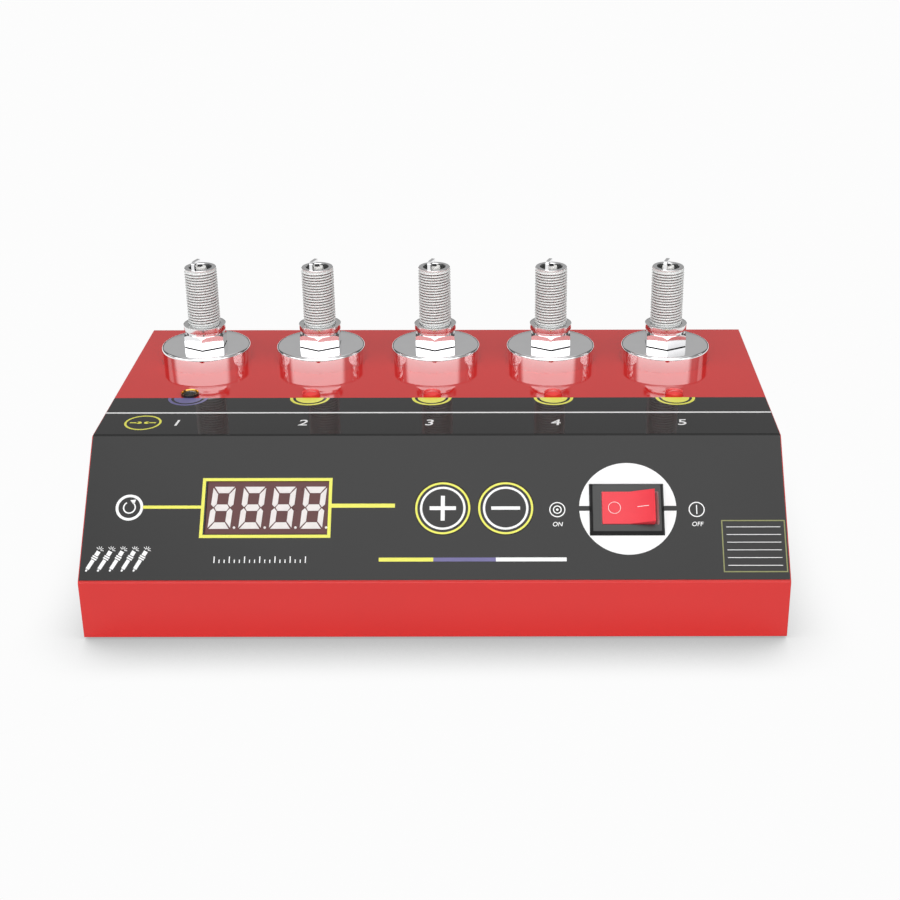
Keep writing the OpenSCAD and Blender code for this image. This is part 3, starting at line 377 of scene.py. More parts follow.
def thread(bm, low, high):
    """Right-hand thread whose rows follow the helix, joined to plain rings below and above."""
    root = THREAD_R - THREAD_DEPTH
    rows = round(((high - low) / THREAD_PITCH - 1) * PITCH_STEPS)
    turns = rows / PITCH_STEPS + 1
    grid = []
    for row in range(rows + 1):
        phase = (row % PITCH_STEPS) / PITCH_STEPS
        crest = min(1.0, CREST_FLAT * (1 - abs(2 * phase - 1)))
        line = []
        for col in range(PLUG_STEPS):
            along = row / PITCH_STEPS + col / PLUG_STEPS
            fade = max(0.0, min(1.0, along / RUN_OUT, (turns - along) / RUN_OUT))
            r = END_R + (root + THREAD_DEPTH * crest - END_R) * fade
            a = math.pi + TAU * col / PLUG_STEPS
            line.append(bm.verts.new((r * math.cos(a), r * math.sin(a), low + THREAD_PITCH * along)))
        grid.append(line)
    last = PLUG_STEPS - 1
    for row, (line, over) in enumerate(zip(grid, grid[1:])):
        quads = [(line[col], line[col + 1], over[col + 1], over[col]) for col in range(last)]
        turn = row + PITCH_STEPS
        if turn < rows:
            quads.append((line[last], grid[turn][0], grid[turn + 1][0], over[last]))
        # The rows at the root are painted dark as shade, and the flanks pale as lit steel.
        for quad in quads:
            bm.faces.new(quad).material_index = SHADE_SLOT if row % PITCH_STEPS in DARK_ROWS else FLANK_SLOT
    ends = [ring(bm, END_R, z, PLUG_STEPS) for z in (low - END_GAP, high + END_GAP)]
    half = PLUG_STEPS // 2
    below, above = (line[half:] + line[:half] for line in ends)
    first, final = grid[0], grid[rows]
    strips = [(below[col], below[col + 1], first[col + 1], first[col]) for col in range(last)]
    strips += [(final[col], final[col + 1], above[col + 1], above[col]) for col in range(last)]
    strips.append([below[last], below[0]] + [line[0] for line in grid[:PITCH_STEPS + 1]] + [first[last]])
    strips.append([line[last] for line in grid[rows - PITCH_STEPS:]] + [above[last], above[0], final[0]])
    for strip in strips:
        bm.faces.new(strip).material_index = FLANK_SLOT
    return ends


def shell_mesh():
    """Steel shell of a plug: collar, hexagon, flange, thread, rim and bore in one skin, and its strap."""
    bm = bmesh.new()
    lower = [ring(bm, r, z, PLUG_STEPS) for r, z in (
        (BODY_BORE, -COLLAR_H), (COLLAR_R - COLLAR_EDGE, -COLLAR_H), (COLLAR_R, COLLAR_EDGE - COLLAR_H),
        (COLLAR_R, 0), (SEAT_R, 0), (SEAT_R, SEAT_H), (hex_radius, SEAT_H), (hex_radius, hex_high),
        (hex_top, HEX_H), (FLANGE_R, HEX_H), (FLANGE_R, HEX_H + FLANGE_H), (NECK_TOP_R, HEX_H + FLANGE_H),
        (NECK_TOP_R, RING_TOP + HAIR))]
    below, above = thread(bm, RING_TOP + THREAD_START, RIM_Z - THREAD_STOP)
    upper = [ring(bm, r, z, PLUG_STEPS) for r, z in (
        (THREAD_R - RIM_SIDE, RIM_Z - RIM_DROP), (THREAD_R - RIM_FACE, RIM_Z),
        (NOSE_BORE + BORE_EDGE, RIM_Z), (NOSE_BORE, RIM_Z - BORE_EDGE),
        (NOSE_BORE, RING_TOP + FLANGE_H), (BODY_BORE, HEX_H))]
    for loop in (lower + [below], [above] + upper + lower[:1]):
        for low, high in zip(loop, loop[1:]):
            bridge(bm, low, high)
    # Painted shade in the bore and in the gap under the hexagon.
    for face in bm.faces:
        in_bore = all(v.co.xy.length < NOSE_BORE + TOUCH for v in face.verts)
        under_hex = all(0 <= v.co.z <= SEAT_H and v.co.xy.length > COLLAR_R + TOUCH for v in face.verts)
        if in_bore or under_hex:
            face.material_index = SHADE_SLOT
    bmesh.ops.remove_doubles(bm, verts=bm.verts, dist=1e-4)
    strap(bm)
    return dress(to_mesh(bm, "plug_shell", sharp=28), "nickel_plate", "thread_shade", "thread_flank_lit")


def strap(bm):
    """Bent earth strap, from the rim over towards the axis."""
    outer, top, foot = STRAP_R + STRAP_T / 2, RIM_Z + STRAP_RISE, RIM_Z - RIM_CHAMFER - STRAP_T / 2
    side = rounded([(outer - STRAP_T, foot), (outer, foot), (outer, top), (STRAP_END, top),
                    (STRAP_END, top - STRAP_T), (outer - STRAP_T, top - STRAP_T)],
                   [0, 0, 1.5 * STRAP_T, 0, 0, STRAP_T / 2], steps=6, loop=True)
    bar = bmesh.new()
    prism(bar, side, -STRAP_W / 2, STRAP_W / 2,
          Matrix.Rotation(math.radians(-90 - STRAP_TURN), 4, "Z") @ UPRIGHT)
    ease_edges(bar, STRAP_EDGE)
    made = bpy.data.meshes.new("strap")
    bar.to_mesh(made)
    bar.free()
    bm.from_mesh(made)
    bpy.data.meshes.remove(made)


INSULATOR_END = RING_TOP - TERMINAL_REACH + TERMINAL_L


def insulator_profile():
    """White body: tapered nose, shoulder inside the shell, ribs and the end that the terminal closes."""
    grooves = []
    for k in range(1, GROOVE_COUNT + 1):
        base = -COLLAR_H - GROOVE_PITCH * k
        floor_r = INSULATOR_R - GROOVE_DEPTH
        grooves += [(INSULATOR_R, base), (floor_r, base - GROOVE_PITCH / 6),
                    (floor_r, base - GROOVE_PITCH / 3), (INSULATOR_R, base - GROOVE_PITCH / 2)]
    tip, bore = RIM_Z + NOSE_RISE, CORE_R + SEAT_GAP
    nose_out, body_out = NOSE_BORE - SEAT_GAP, BODY_BORE - SEAT_GAP
    nose = rounded([(bore, tip), (NOSE_R, tip), (NOSE_R + NOSE_FLARE, RIM_Z - NOSE_FOOT),
                    (nose_out, RIM_Z - NOSE_ROOT)], NOSE_ROUND, steps=6)
    return (nose + [(nose_out, RING_TOP + FLANGE_H), (body_out, HEX_H), (body_out, -COLLAR_H),
                    (INSULATOR_R, -COLLAR_H - GROOVE_PITCH / 2)]
            + grooves + [(INSULATOR_R, INSULATOR_END + GROOVE_PITCH),
                         (TERMINAL_R + GROOVE_DEPTH, INSULATOR_END), (bore, INSULATOR_END)])


def core_profile():
    """Centre electrode, and the waisted terminal nut at its other end."""
    tip, low = RIM_Z + STRAP_RISE - STRAP_T - SPARK_GAP, INSULATOR_END - TERMINAL_L
    waist = TERMINAL_R - GROOVE_DEPTH
    return [(0, tip), (CORE_R - CORE_EDGE, tip), (CORE_R, tip - CORE_EDGE), (CORE_R, INSULATOR_END),
            (TERMINAL_R - CORE_EDGE, INSULATOR_END), (TERMINAL_R, INSULATOR_END - CORE_EDGE),
            (TERMINAL_R, INSULATOR_END - TERMINAL_L / 3), (waist, INSULATOR_END - TERMINAL_L / 2),
            (TERMINAL_R, INSULATOR_END - 2 * TERMINAL_L / 3), (TERMINAL_R, low + GROOVE_DEPTH), (waist, low),
            (0, low)]


SHELL = shell_mesh()
GASKET = lathe("plug_gasket", rounded(
    [(GASKET_BORE, 0), (GASKET_R - GASKET_TAPER, 0), (GASKET_R, GASKET_T), (GASKET_BORE, GASKET_T)],
    GASKET_EDGE, loop=True), PLUG_STEPS, loop=True, sharp=24)
INSULATOR = lathe("plug_insulator", insulator_profile(), steps=64, loop=True)
CORE = lathe("plug_core", core_profile(), steps=48)
HOLDER_BORE, TUBE_BORE, NECK_R, NECK_L = 7.85, 9.1, 12.0, 9.0
HOLDER_EDGE, NECK_EDGE, MOUTH_ROUND = 0.1, 0.4, 0.3
HOLDER = lathe("plug_holder", rounded(
    [(HOLDER_BORE, 0), (TUBE_BORE, 0), (TUBE_BORE, -NECK_L), (NECK_R, -NECK_L), (NECK_R, 0), (DISC_R, 0),
     (DISC_R, DISC_H), (HOLDER_BORE, DISC_H)],
    [HOLDER_EDGE] * 3 + [NECK_EDGE, HOLDER_EDGE, 0, DISC_ROUND, MOUTH_ROUND], steps=8, loop=True),
    steps=160, loop=True)
for i in STATIONS:
    top = Matrix.Translation(station(i))
    body = f"plug_{i}"
    piece(f"holder_{i}", HOLDER, FINISHES["chrome_plate"], "housing", top @ mm_move(0, 0, -DISC_H),
          [f"plug_holder_{i}"])
    piece(f"shell_{i}", SHELL, FINISHES["nickel_plate"], body, top, [f"plug_shell_{i}"])
    piece(f"gasket_{i}", GASKET, FINISHES["gasket_steel"], body, top @ mm_move(0, 0, HEX_H + FLANGE_H),
          [f"plug_gasket_{i}"])
    piece(f"insulator_{i}", INSULATOR, FINISHES["ceramic"], body, top, [f"plug_insulator_{i}"])
    piece(f"core_{i}", CORE, FINISHES["electrode_metal"], body, top, [f"plug_core_{i}"])

# Lamps
LAMP_Y, LAMP_R, LAMP_DEPTH = 89.05, 3.0, 8.0
LENS_R, LENS_LOW, LENS_EDGE, LENS_RISE = 3.3, 0.3, 0.5, 1.15
RIM_R, RIM_H, RIM_LIP, RIM_ROUND, RIM_SEAT, RIM_SKIN = 3.85, 1.35, 0.15, 0.06, 0.25, 0.04
BARREL_R, BARREL_L, BARREL_EDGE = 3.7, 4.0, 0.1


def lens_profile():
    """Lamp body under a lens with a low dome."""
    dome_r = (LENS_R ** 2 + LENS_RISE ** 2) / (2 * LENS_RISE)
    span, steps = math.asin(LENS_R / dome_r), 10
    angles = [span * k / steps for k in range(steps, 0, -1)]
    dome = [(dome_r * math.sin(a), LENS_EDGE + LENS_RISE - dome_r * (1 - math.cos(a))) for a in angles]
    return [(0, -LAMP_DEPTH), (LAMP_R, -LAMP_DEPTH), (LAMP_R, LENS_LOW), (LENS_R, LENS_LOW)] + dome + [
        (0, LENS_EDGE + LENS_RISE)]


DOME = lathe("lamp_dome", lens_profile(), steps=64)
BEZEL = rounded([(LAMP_R + SEAT_GAP, -BARREL_L), (BARREL_R, -BARREL_L), (BARREL_R, 0), (RIM_R, 0),
                 (RIM_R, RIM_H), (RIM_R - RIM_LIP, RIM_H), (LENS_R + SEAT_GAP, RIM_SEAT),
                 (LAMP_R + SEAT_GAP, RIM_SEAT)],
                [0, BARREL_EDGE, 0, 0, RIM_ROUND, RIM_ROUND, 0, 0], loop=True)
LAMP_NODES = {1: (["power_lamp"], ["power_lamp_bezel"]), 2: (["test_lamps"], ["test_lamp_bezels"])}
LAMP_KINDS = {"power": ("dark_lens", "gilt_bezel"), "test": ("red_lens", "red_bezel")}


def bezel_mesh(kind):
    """Bezel that shines inside its rim and has the colour of its lens round the outside."""
    lens, rim = LAMP_KINDS[kind]
    mesh = dress(lathe(f"{kind}_bezel", BEZEL, steps=64, loop=True), rim, lens)
    outside = (RIM_R - RIM_SKIN) * MM
    for face in mesh.polygons:
        face.material_index = int(face.center.xy.length > outside)
    return mesh


lamp_meshes = {kind: (DOME.copy(), bezel_mesh(kind)) for kind in LAMP_KINDS}
for i in STATIONS:
    kind = "power" if i == 1 else "test"
    lens, rim = LAMP_KINDS[kind]
    spot = ON_TOP @ Matrix.Translation((station(i).x, LAMP_Y * MM, 0))
    stood_for = LAMP_NODES.get(i, ([], []))
    piece(f"lamp_{i}", lamp_meshes[kind][0], FINISHES[lens], "housing", spot, stood_for[0])
    piece(f"lamp_rim_{i}", lamp_meshes[kind][1], FINISHES[rim], "housing", spot, stood_for[1])


# Printed signs
INK_SUNK, INK_PROUD = 0.02, 0.03
INK_LOW, INK_HIGH = FILM_T - INK_SUNK, FILM_T + INK_PROUD
ARC_STEPS = 64
CAP_HEIGHT, BOLDNESS = 0.72, 0.012


def arc(x, y, r, start=0.0, end=360.0, steps=ARC_STEPS):
    """Points on a circle, without the last one if it is whole."""
    whole = abs(end - start) >= 360
    count = steps if whole else steps + 1
    angles = [math.radians(start + (end - start) * k / steps) for k in range(count)]
    return [(x + r * math.cos(a), y + r * math.sin(a)) for a in angles]


class Print:
    """Flat shapes of one ink on one face."""

    def __init__(self, name, ink, body, place, low=INK_LOW, high=INK_HIGH):
        self.name, self.ink, self.body, self.place = name, ink, body, place
        self.low, self.high = low, high
        self.bm = bmesh.new()

    def area(self, outline):
        prism(self.bm, outline, self.low, self.high)
        return self

    def disc(self, x, y, r):
        return self.area(arc(x, y, r))

    def band(self, outer, inner, closed=True):
        """Strip between two lines of as many points."""
        rows = [[self.bm.verts.new((x, y, z)) for x, y in line]
                for z in (self.low, self.high) for line in (outer, inner)]
        low_out, low_in, high_out, high_in = rows
        count = len(outer)
        for k in range(count if closed else count - 1):
            j = (k + 1) % count
            for a, b in ((low_out, high_out), (high_out, high_in), (high_in, low_in), (low_in, low_out)):
                self.bm.faces.new((a[k], a[j], b[j], b[k]))
        if not closed:
            for k in (0, count - 1):
                self.bm.faces.new((low_out[k], high_out[k], high_in[k], low_in[k]))
        return self

    def ring(self, x, y, r, width, start=0.0, end=360.0):
        closed = abs(end - start) >= 360
        return self.band(arc(x, y, r, start, end), arc(x, y, r - width, start, end), closed)

    def bar(self, x0, y0, x1, y1, width):
        a, b = Vector((x0, y0)), Vector((x1, y1))
        side = (b - a).normalized().orthogonal() * width / 2
        return self.area([tuple(p) for p in (a - side, b - side, b + side, a + side)])

    def box(self, x0, y0, x1, y1):
        return self.area([(x0, y0), (x1, y0), (x1, y1), (x0, y1)])

    def rule(self, x0, x1, y, width):
        """Level line, with y at its middle."""
        return self.box(x0, y - width / 2, x1, y + width / 2)

    def frame(self, x0, y0, x1, y1, width):
        outer, inner = ([(x0 + w, y0 + w), (x1 - w, y0 + w), (x1 - w, y1 - w), (x0 + w, y1 - w)]
                        for w in (0, width))
        return self.band(outer, inner)

    def word(self, text, x, y, height, lean=0.0):
        """Generic word or number, centred at x with its foot at y."""
        curve = bpy.data.curves.new(self.name, "FONT")
        curve.body, curve.align_x, curve.size, curve.shear = text, "CENTER", height / CAP_HEIGHT, lean
        curve.extrude = (self.high - self.low) / 2
        curve.offset = BOLDNESS * height
        holder = bpy.data.objects.new(self.name, curve)
        bpy.context.scene.collection.objects.link(holder)
        bpy.context.view_layer.update()
        flat = bpy.data.meshes.new_from_object(holder.evaluated_get(bpy.context.evaluated_depsgraph_get()))
        flat.transform(Matrix.Translation((x, y, (self.low + self.high) / 2)))
        self.bm.from_mesh(flat)
        bpy.data.objects.remove(holder)
        bpy.data.curves.remove(curve)
        bpy.data.meshes.remove(flat)
        return self

    def done(self):
        bmesh.ops.remove_doubles(self.bm, verts=self.bm.verts, dist=1e-5)
        return piece(self.name, to_mesh(self.bm, self.name), INKS[self.ink], self.body, self.place)


# Display: yellow frame and leaders, white ring with a turning arrow
FRAME_LEFT, FRAME_RIGHT, FRAME_LOW, FRAME_HIGH, FRAME_W = -93.6, -41.54, 18.4, 43.75, 1.3
LEFT_END, LEFT_S, LEFT_W, RIGHT_END, RIGHT_S, RIGHT_W = -116.9, 31.4, 1.3, -16.2, 31.9, 1.7
UNIT_X, UNIT_S, UNIT_R, UNIT_W = -122.2, 31.25, 5.5, 1.1
ARROW_R, ARROW_W, ARROW_START, ARROW_END = 2.6, 0.55, 120, 420
ARROW_HEAD = ((0.1, 3.1), (2.4, 3.4), (1.7, 1.2))
Print("display_frame", "yellow", "housing", ON_SLOPE).frame(
    FRAME_LEFT, FRAME_LOW, FRAME_RIGHT, FRAME_HIGH, FRAME_W).rule(
    LEFT_END, FRAME_LEFT, LEFT_S, LEFT_W).rule(FRAME_RIGHT, RIGHT_END, RIGHT_S, RIGHT_W).done()
Print("unit_ring", "white", "housing", ON_SLOPE).ring(UNIT_X, UNIT_S, UNIT_R, UNIT_W).ring(
    UNIT_X, UNIT_S, ARROW_R, ARROW_W, ARROW_START, ARROW_END).area(
    [(UNIT_X + x, UNIT_S + y) for x, y in ARROW_HEAD]).done()

# Keys: their signs ride on the keys
KEY_S, KEY_RING_R, KEY_RING_W, KEY_SIGN_R, KEY_SIGN_W = 30.8, 11.0, 0.85, 9.1, 0.9
PLUS_X, PLUS_ARM, PLUS_HALF, MINUS_X, MINUS_ARM, MINUS_W = 2.9, 5.25, 0.8, 28.0, 5.75, 1.4


def plus_outline(x, y):
    """Outline of a plus sign, by quarter turns of one of its corners."""
    outline, corner = [], [(-PLUS_ARM, -PLUS_HALF), (-PLUS_HALF, -PLUS_HALF), (-PLUS_HALF, -PLUS_ARM)]
    for _ in range(4):
        outline += [(x + across, y + along) for across, along in corner]
        corner = [(-along, across) for across, along in corner]
    return outline


for name, x in (("plus", PLUS_X), ("minus", MINUS_X)):
    body = f"{name}_button"
    Print(f"{name}_ring", "yellow", body, ON_SLOPE).ring(x, KEY_S, KEY_RING_R, KEY_RING_W).done()
    sign = Print(f"{name}_sign", "white", body, ON_SLOPE).ring(x, KEY_S, KEY_SIGN_R, KEY_SIGN_W)
    if name == "plus":
        sign.area(plus_outline(x, KEY_S))
    else:
        sign.rule(x - MINUS_ARM, x + MINUS_ARM, KEY_S, MINUS_W)
    sign.done()

# Switch: white disc behind it, with a dark gap at both sides, and its two signs
SWITCH_X, SWITCH_S, BEZEL_W, BEZEL_H, BEZEL_T, BEZEL_LEAN = 76.3, 30.1, 29.8, 21.9, 2.0, 1.3
PATCH_X, PATCH_S, PATCH_R, PATCH_GAP = 76.75, 30.6, 19.4, 2.1
patch = Print("switch_patch", "white", "housing", ON_SLOPE)
lift = math.degrees(math.asin(PATCH_GAP / 2 / PATCH_R))
left, right = SWITCH_X - BEZEL_W / 2 - HAIR, SWITCH_X + BEZEL_W / 2 + HAIR
for side, turn in ((1, 0), (-1, 180)):
    near, far = (right, left) if side > 0 else (left, right)
    inner_s, outer_s = PATCH_S + side * PATCH_GAP / 2, SWITCH_S + side * BEZEL_H / 2
    patch.area(arc(PATCH_X, PATCH_S, PATCH_R, turn + lift, turn + 180 - lift)
               + [(far, inner_s), (far, outer_s), (near, outer_s), (near, inner_s)])
patch.done()
SIGN_S, SIGN_R, SIGN_W, WORD_S, WORD_H, WORD_LEAN = 30.1, 3.2, 0.42, 23.1, 1.85, 0.15
ON_X, ON_RING_R, ON_DOT_R, OFF_X, OFF_HALF = 48.6, 1.75, 0.5, 104.2, 1.9
Print("on_sign", "white", "housing", ON_SLOPE).ring(ON_X, SIGN_S, SIGN_R, SIGN_W).ring(
    ON_X, SIGN_S, ON_RING_R, SIGN_W).disc(ON_X, SIGN_S, ON_DOT_R).word(
    "ON", ON_X, WORD_S, WORD_H, WORD_LEAN).done()
Print("off_sign", "white", "housing", ON_SLOPE).ring(OFF_X, SIGN_S, SIGN_R, SIGN_W).bar(
    OFF_X, SIGN_S - OFF_HALF, OFF_X, SIGN_S + OFF_HALF, SIGN_W).word(
    "OFF", OFF_X, WORD_S, WORD_H, WORD_LEAN).done()

# Three-colour line
LINE_S, LINE_W = 9.3, 1.6
LINE_PARTS = (("first", "yellow", -22.1, -0.6), ("second", "purple", -0.6, 24.1),
              ("third", "white", 24.1, 52.0))
for name, ink, x0, x1 in LINE_PARTS:
    Print(f"{name}_line", ink, "housing", ON_SLOPE).rule(x0, x1, LINE_S, LINE_W).done()

# Bare plate for notes, and a row of ticks under the display
NOTE_LEFT, NOTE_LOW, NOTE_RIGHT, NOTE_HIGH, NOTE_W, NOTE_INSET = 113.7, 3.9, 139.0, 25.6, 0.45, 1.9
NOTE_RULES, RULES_LOW, RULES_PITCH, RULES_W = 6, 6.725, 3.2, 0.25
TICKS, TICKS_LEFT, TICKS_PITCH, TICK_GROUP = 19, -87, 2, 3
TICK_W, TICK_LOW, TICK_SHORT, TICK_LONG = 0.4, 8.0, 9.4, 10.7
Print("note_frame", "olive", "housing", ON_SLOPE).frame(
    NOTE_LEFT, NOTE_LOW, NOTE_RIGHT, NOTE_HIGH, NOTE_W).done()
notes = Print("note_rules", "white", "housing", ON_SLOPE)
for k in range(NOTE_RULES):
    notes.rule(NOTE_LEFT + NOTE_INSET, NOTE_RIGHT - NOTE_INSET, RULES_LOW + RULES_PITCH * k, RULES_W)
notes.done()
ticks = Print("scale_ticks", "white", "housing", ON_SLOPE)
for k in range(TICKS):
    x = TICKS_LEFT + TICKS_PITCH * k
    ticks.box(x - TICK_W / 2, TICK_LOW, x + TICK_W / 2, TICK_SHORT if k % TICK_GROUP else TICK_LONG)
ticks.done()

# Five slanting plugs, each with a few sparks
ICON_LEAN, ICON_LEFT, ICON_LOW, ICON_PITCH = math.radians(28), -137.2, 4.6, 4.67
ICON_PARTS = ((0.0, 0.9, 0.35), (1.1, 5.3, 0.75), (5.6, 6.2, 1.15), (6.5, 7.1, 1.15), (7.4, 9.4, 0.85))
SPARK_AT, SPARK_START, SPARK_STOP, SPARK_W, SPARK_TURNS = 9.9, 0.5, 1.7, 0.22, (-70, -35, 0, 35, 70)


def heading(angle):
    """Direction at an angle to the right of straight up."""
    return Vector((math.sin(angle), math.cos(angle)))


icons = Print("plug_icons", "white", "housing", ON_SLOPE)
for k in range(len(STATIONS)):
    foot, along = Vector((ICON_LEFT + ICON_PITCH * k, ICON_LOW)), heading(ICON_LEAN)
    for start, end, half in ICON_PARTS:
        icons.bar(*(foot + along * start), *(foot + along * end), 2 * half)
    tip = foot + along * SPARK_AT
    for turn in SPARK_TURNS:
        ray = heading(ICON_LEAN + math.radians(turn))
        icons.bar(*(tip + ray * SPARK_START), *(tip + ray * SPARK_STOP), SPARK_W)
icons.done()

# Top film: rule, spark-gap sign, numbers of the holders and a half ring in front of each lamp
RULE_Y, RULE_W = 68.0, 1.2
GAP_X, GAP_Y, GAP_R, GAP_W, GAP_FAR, GAP_NEAR, BALL_X, BALL_R = -122.0, 57.5, 7.6, 0.9, 5.4, 1.9, 1.6, 1.15
NUMBER_Y, NUMBER_H, NUMBER_LEAN = 54.5, 6.0, 0.1
MARK_Y, MARK_R, MARK_W, MARK_DISC = FILM_BACK - 0.05, 8.5, 1.3, 6.0
Print("top_rule", "white", "housing", ON_TOP).rule(-FILM_HALF, FILM_HALF, RULE_Y, RULE_W).done()
gap_sign = Print("spark_gap_sign", "yellow", "housing", ON_TOP).ring(GAP_X, GAP_Y, GAP_R, GAP_W)
for side in (-1, 1):
    gap_sign.bar(GAP_X + side * GAP_FAR, GAP_Y, GAP_X + side * GAP_NEAR, GAP_Y, GAP_W)
    gap_sign.disc(GAP_X + side * BALL_X, GAP_Y, BALL_R)
gap_sign.done()
numbers = Print("holder_numbers", "white", "housing", ON_TOP)
for i in STATIONS:
    numbers.word(str(i), station(i).x / MM, NUMBER_Y, NUMBER_H, NUMBER_LEAN)
numbers.done()
for i in STATIONS:
    x = station(i).x / MM
    Print(f"lamp_mark_{i}", "purple" if i == 1 else "yellow", "housing", ON_TOP).ring(
        x, MARK_Y, MARK_R, MARK_W, 180, 360).area(arc(x, MARK_Y, MARK_DISC, 180, 360)).done()

# Rocker
ROCKER_L, ROCKER_H, ROCKER_PROUD, ROCKER_GAP, SKIRT = 10.75, 13.5, 0.2, 0.3, 5.5
THROW, PIVOT_DEPTH, PIVOT_SHIFT, PIVOT_R, PIVOT_L = math.radians(20), 2.25, 1.2, 1.2, 1.3
BODY_W, BODY_H, BODY_DEPTH = 27.0, 18.4, 15.0
ROCKER_EDGE, BEZEL_ROUND, HOLE_ROUND, BEZEL_EASE, BEZEL_STEP = 0.25, 0.5, 0.3, 0.1, 0.15
RING_X, RING_R, RING_W, DASH_NEAR, DASH_FAR, DASH_W = -5.84, 2.5, 0.16, 3.4, 8.15, 0.24
VALLEY = Vector((-math.sin(THROW / 2), math.cos(THROW / 2))) * PIVOT_DEPTH
PIVOT_N = FILM_T + BEZEL_T + ROCKER_PROUD - VALLEY.y
ROCKER_R = math.hypot(ROCKER_L - VALLEY.x, VALLEY.y)
ON_SWITCH = ON_SLOPE @ mm_move(SWITCH_X, SWITCH_S, 0)
ON_PIVOT = ON_SWITCH @ mm_move(PIVOT_SHIFT, 0, PIVOT_N)


def rocker_mesh():
    """Rocker: two faces in a shallow valley over a skirt, edges eased, with its pivot pins."""
    low = VALLEY - Vector((ROCKER_L, 0))
    high = VALLEY + Vector((math.cos(THROW), math.sin(THROW))) * ROCKER_L
    side = [VALLEY, low, (low.x + (low.y + SKIRT) * math.tan(THROW), -SKIRT), (high.x, -SKIRT), high]
    bm = bmesh.new()
    prism(bm, side, -ROCKER_H / 2, ROCKER_H / 2, UPRIGHT)
    ease_edges(bm, ROCKER_EDGE)
    prism(bm, arc(0, 0, PIVOT_R, steps=24), -ROCKER_H / 2 - PIVOT_L, ROCKER_H / 2 + PIVOT_L, UPRIGHT)
    return to_mesh(bm, "rocker", sharp=40)


def housing_mesh():
    """Switch body with its cavity, under a bezel whose sides, painted dark as shade, lean in to a paler
    face.
    """
    top, floor_n = FILM_T + BEZEL_T, PIVOT_N - ROCKER_R
    wall = ROCKER_L * math.cos(THROW) + VALLEY.x + ROCKER_GAP
    knee_n = PIVOT_N - wall * math.tan(THROW / 2)
    mouth = wall + (top - knee_n) * math.tan(THROW)
    hole_h = ROCKER_H + ROCKER_GAP

    def frame_at(inset, n):
        return soft_box(BEZEL_W - 2 * inset, BEZEL_H - 2 * inset, BEZEL_ROUND, n)

    bm = bmesh.new()
    steps = loft(bm, [
        soft_box(BODY_W, BODY_H, BEZEL_ROUND, -BODY_DEPTH), soft_box(BODY_W, BODY_H, BEZEL_ROUND, FILM_T),
        frame_at(0, FILM_T), frame_at(BEZEL_EASE / 2, FILM_T + BEZEL_STEP),
        frame_at(BEZEL_LEAN - BEZEL_EASE, top - BEZEL_STEP), frame_at(BEZEL_LEAN + BEZEL_EASE, top),
        soft_box(2 * mouth + BEZEL_EASE, hole_h + BEZEL_EASE, HOLE_ROUND, top, PIVOT_SHIFT),
        soft_box(2 * wall, hole_h, HOLE_ROUND, knee_n, PIVOT_SHIFT),
        soft_box(2 * wall, hole_h, HOLE_ROUND, floor_n, PIVOT_SHIFT)])
    # Painted shade on the bezel's sides, the body and the deep cavity; painted light on the cavity's flaring
    # wall, which lies in shade.
    for slot, shaded_or_lit in ((1, steps[:4] + steps[7:]), (2, steps[6:7])):
        for face in sum(shaded_or_lit, []):
            face.material_index = slot
    return dress(to_mesh(bm, "switch_body", sharp=25), "switch_plastic", "bezel_painted_shade", "throat_painted_light")


piece("switch_body", housing_mesh(), None, "housing", ON_SWITCH, ["switch_housing"])
piece("rocker_cap", rocker_mesh(), FINISHES["rocker_plastic"], "rocker", ON_PIVOT, ["switch_rocker"])
LEFT_FACE = ON_PIVOT @ mm_move(VALLEY.x, 0, VALLEY.y)
RIGHT_FACE = LEFT_FACE @ Matrix.Rotation(-THROW, 4, "Y")
FACE_INK = -INK_SUNK, INK_PROUD
Print("rocker_ring_sign", "white", "rocker", LEFT_FACE, *FACE_INK).ring(RING_X, 0, RING_R, RING_W).done()
Print("rocker_dash_sign", "white", "rocker", RIGHT_FACE, *FACE_INK).rule(
    DASH_NEAR, DASH_FAR, 0, DASH_W).done()

# Screws and feet
SCREW_R, SCREW_L, SUNK_R = 1.5, 5.0, 2.6
SCREW_EDGE, HEAD_EDGE, HEAD_RIM = 0.3, 0.1, 0.02
CROSS_ARM, CROSS_HALF, CROSS_DEPTH, CROSS_TAPER = 1.6, 0.35, 0.9, 0.8
TAB_L, TAB_INSET, INLET_PITCH, INLET_Z = 10.0, 34.0, 40.0, 26.803
FOOT_R, FOOT_INSET, FOOT_EDGE, BASE_GAP = 7.0, 14.0, 0.3, 0.3


def cross(a, scale=1.0):
    """Outline of a cross recess, as a distance from the screw's axis."""
    c, s = abs(math.cos(a)), abs(math.sin(a))
    return scale * min(CROSS_ARM / max(c, s), CROSS_HALF / max(min(c, s), 1e-6))


SCREW = lathe("sunk_screw", [
    (0, -SCREW_L), (SCREW_R - SCREW_EDGE, -SCREW_L), (SCREW_R, SCREW_EDGE - SCREW_L),
    (SCREW_R, SCREW_R - SUNK_R), (SUNK_R, -HEAD_RIM), (SUNK_R - HEAD_EDGE, 0), (cross, 0),
    (lambda a: cross(a, CROSS_TAPER), -CROSS_DEPTH), (0, -CROSS_DEPTH)])
FOOT = lathe("foot", rounded([(0, 0), (FOOT_R - FOOT_H / 4, 0), (FOOT_R, FOOT_H), (0, FOOT_H)],
                             [0, FOOT_EDGE, 0, 0]), steps=64)
edge_x = CASE_W / 2 - SHEET_T
spots = [IN_CASE @ mm_move(i * (edge_x - TAB_L / 2), y, 0) @ FACING_DOWN
         for i in (-1, 1) for y in (TAB_INSET, CASE_D / 2, CASE_D - TAB_INSET)]
spots += [IN_CASE @ mm_move(SWITCH_X + i * INLET_PITCH / 2, CASE_D + INLET_T, INLET_Z) @ FACING_BACK
          for i in (-1, 1)]
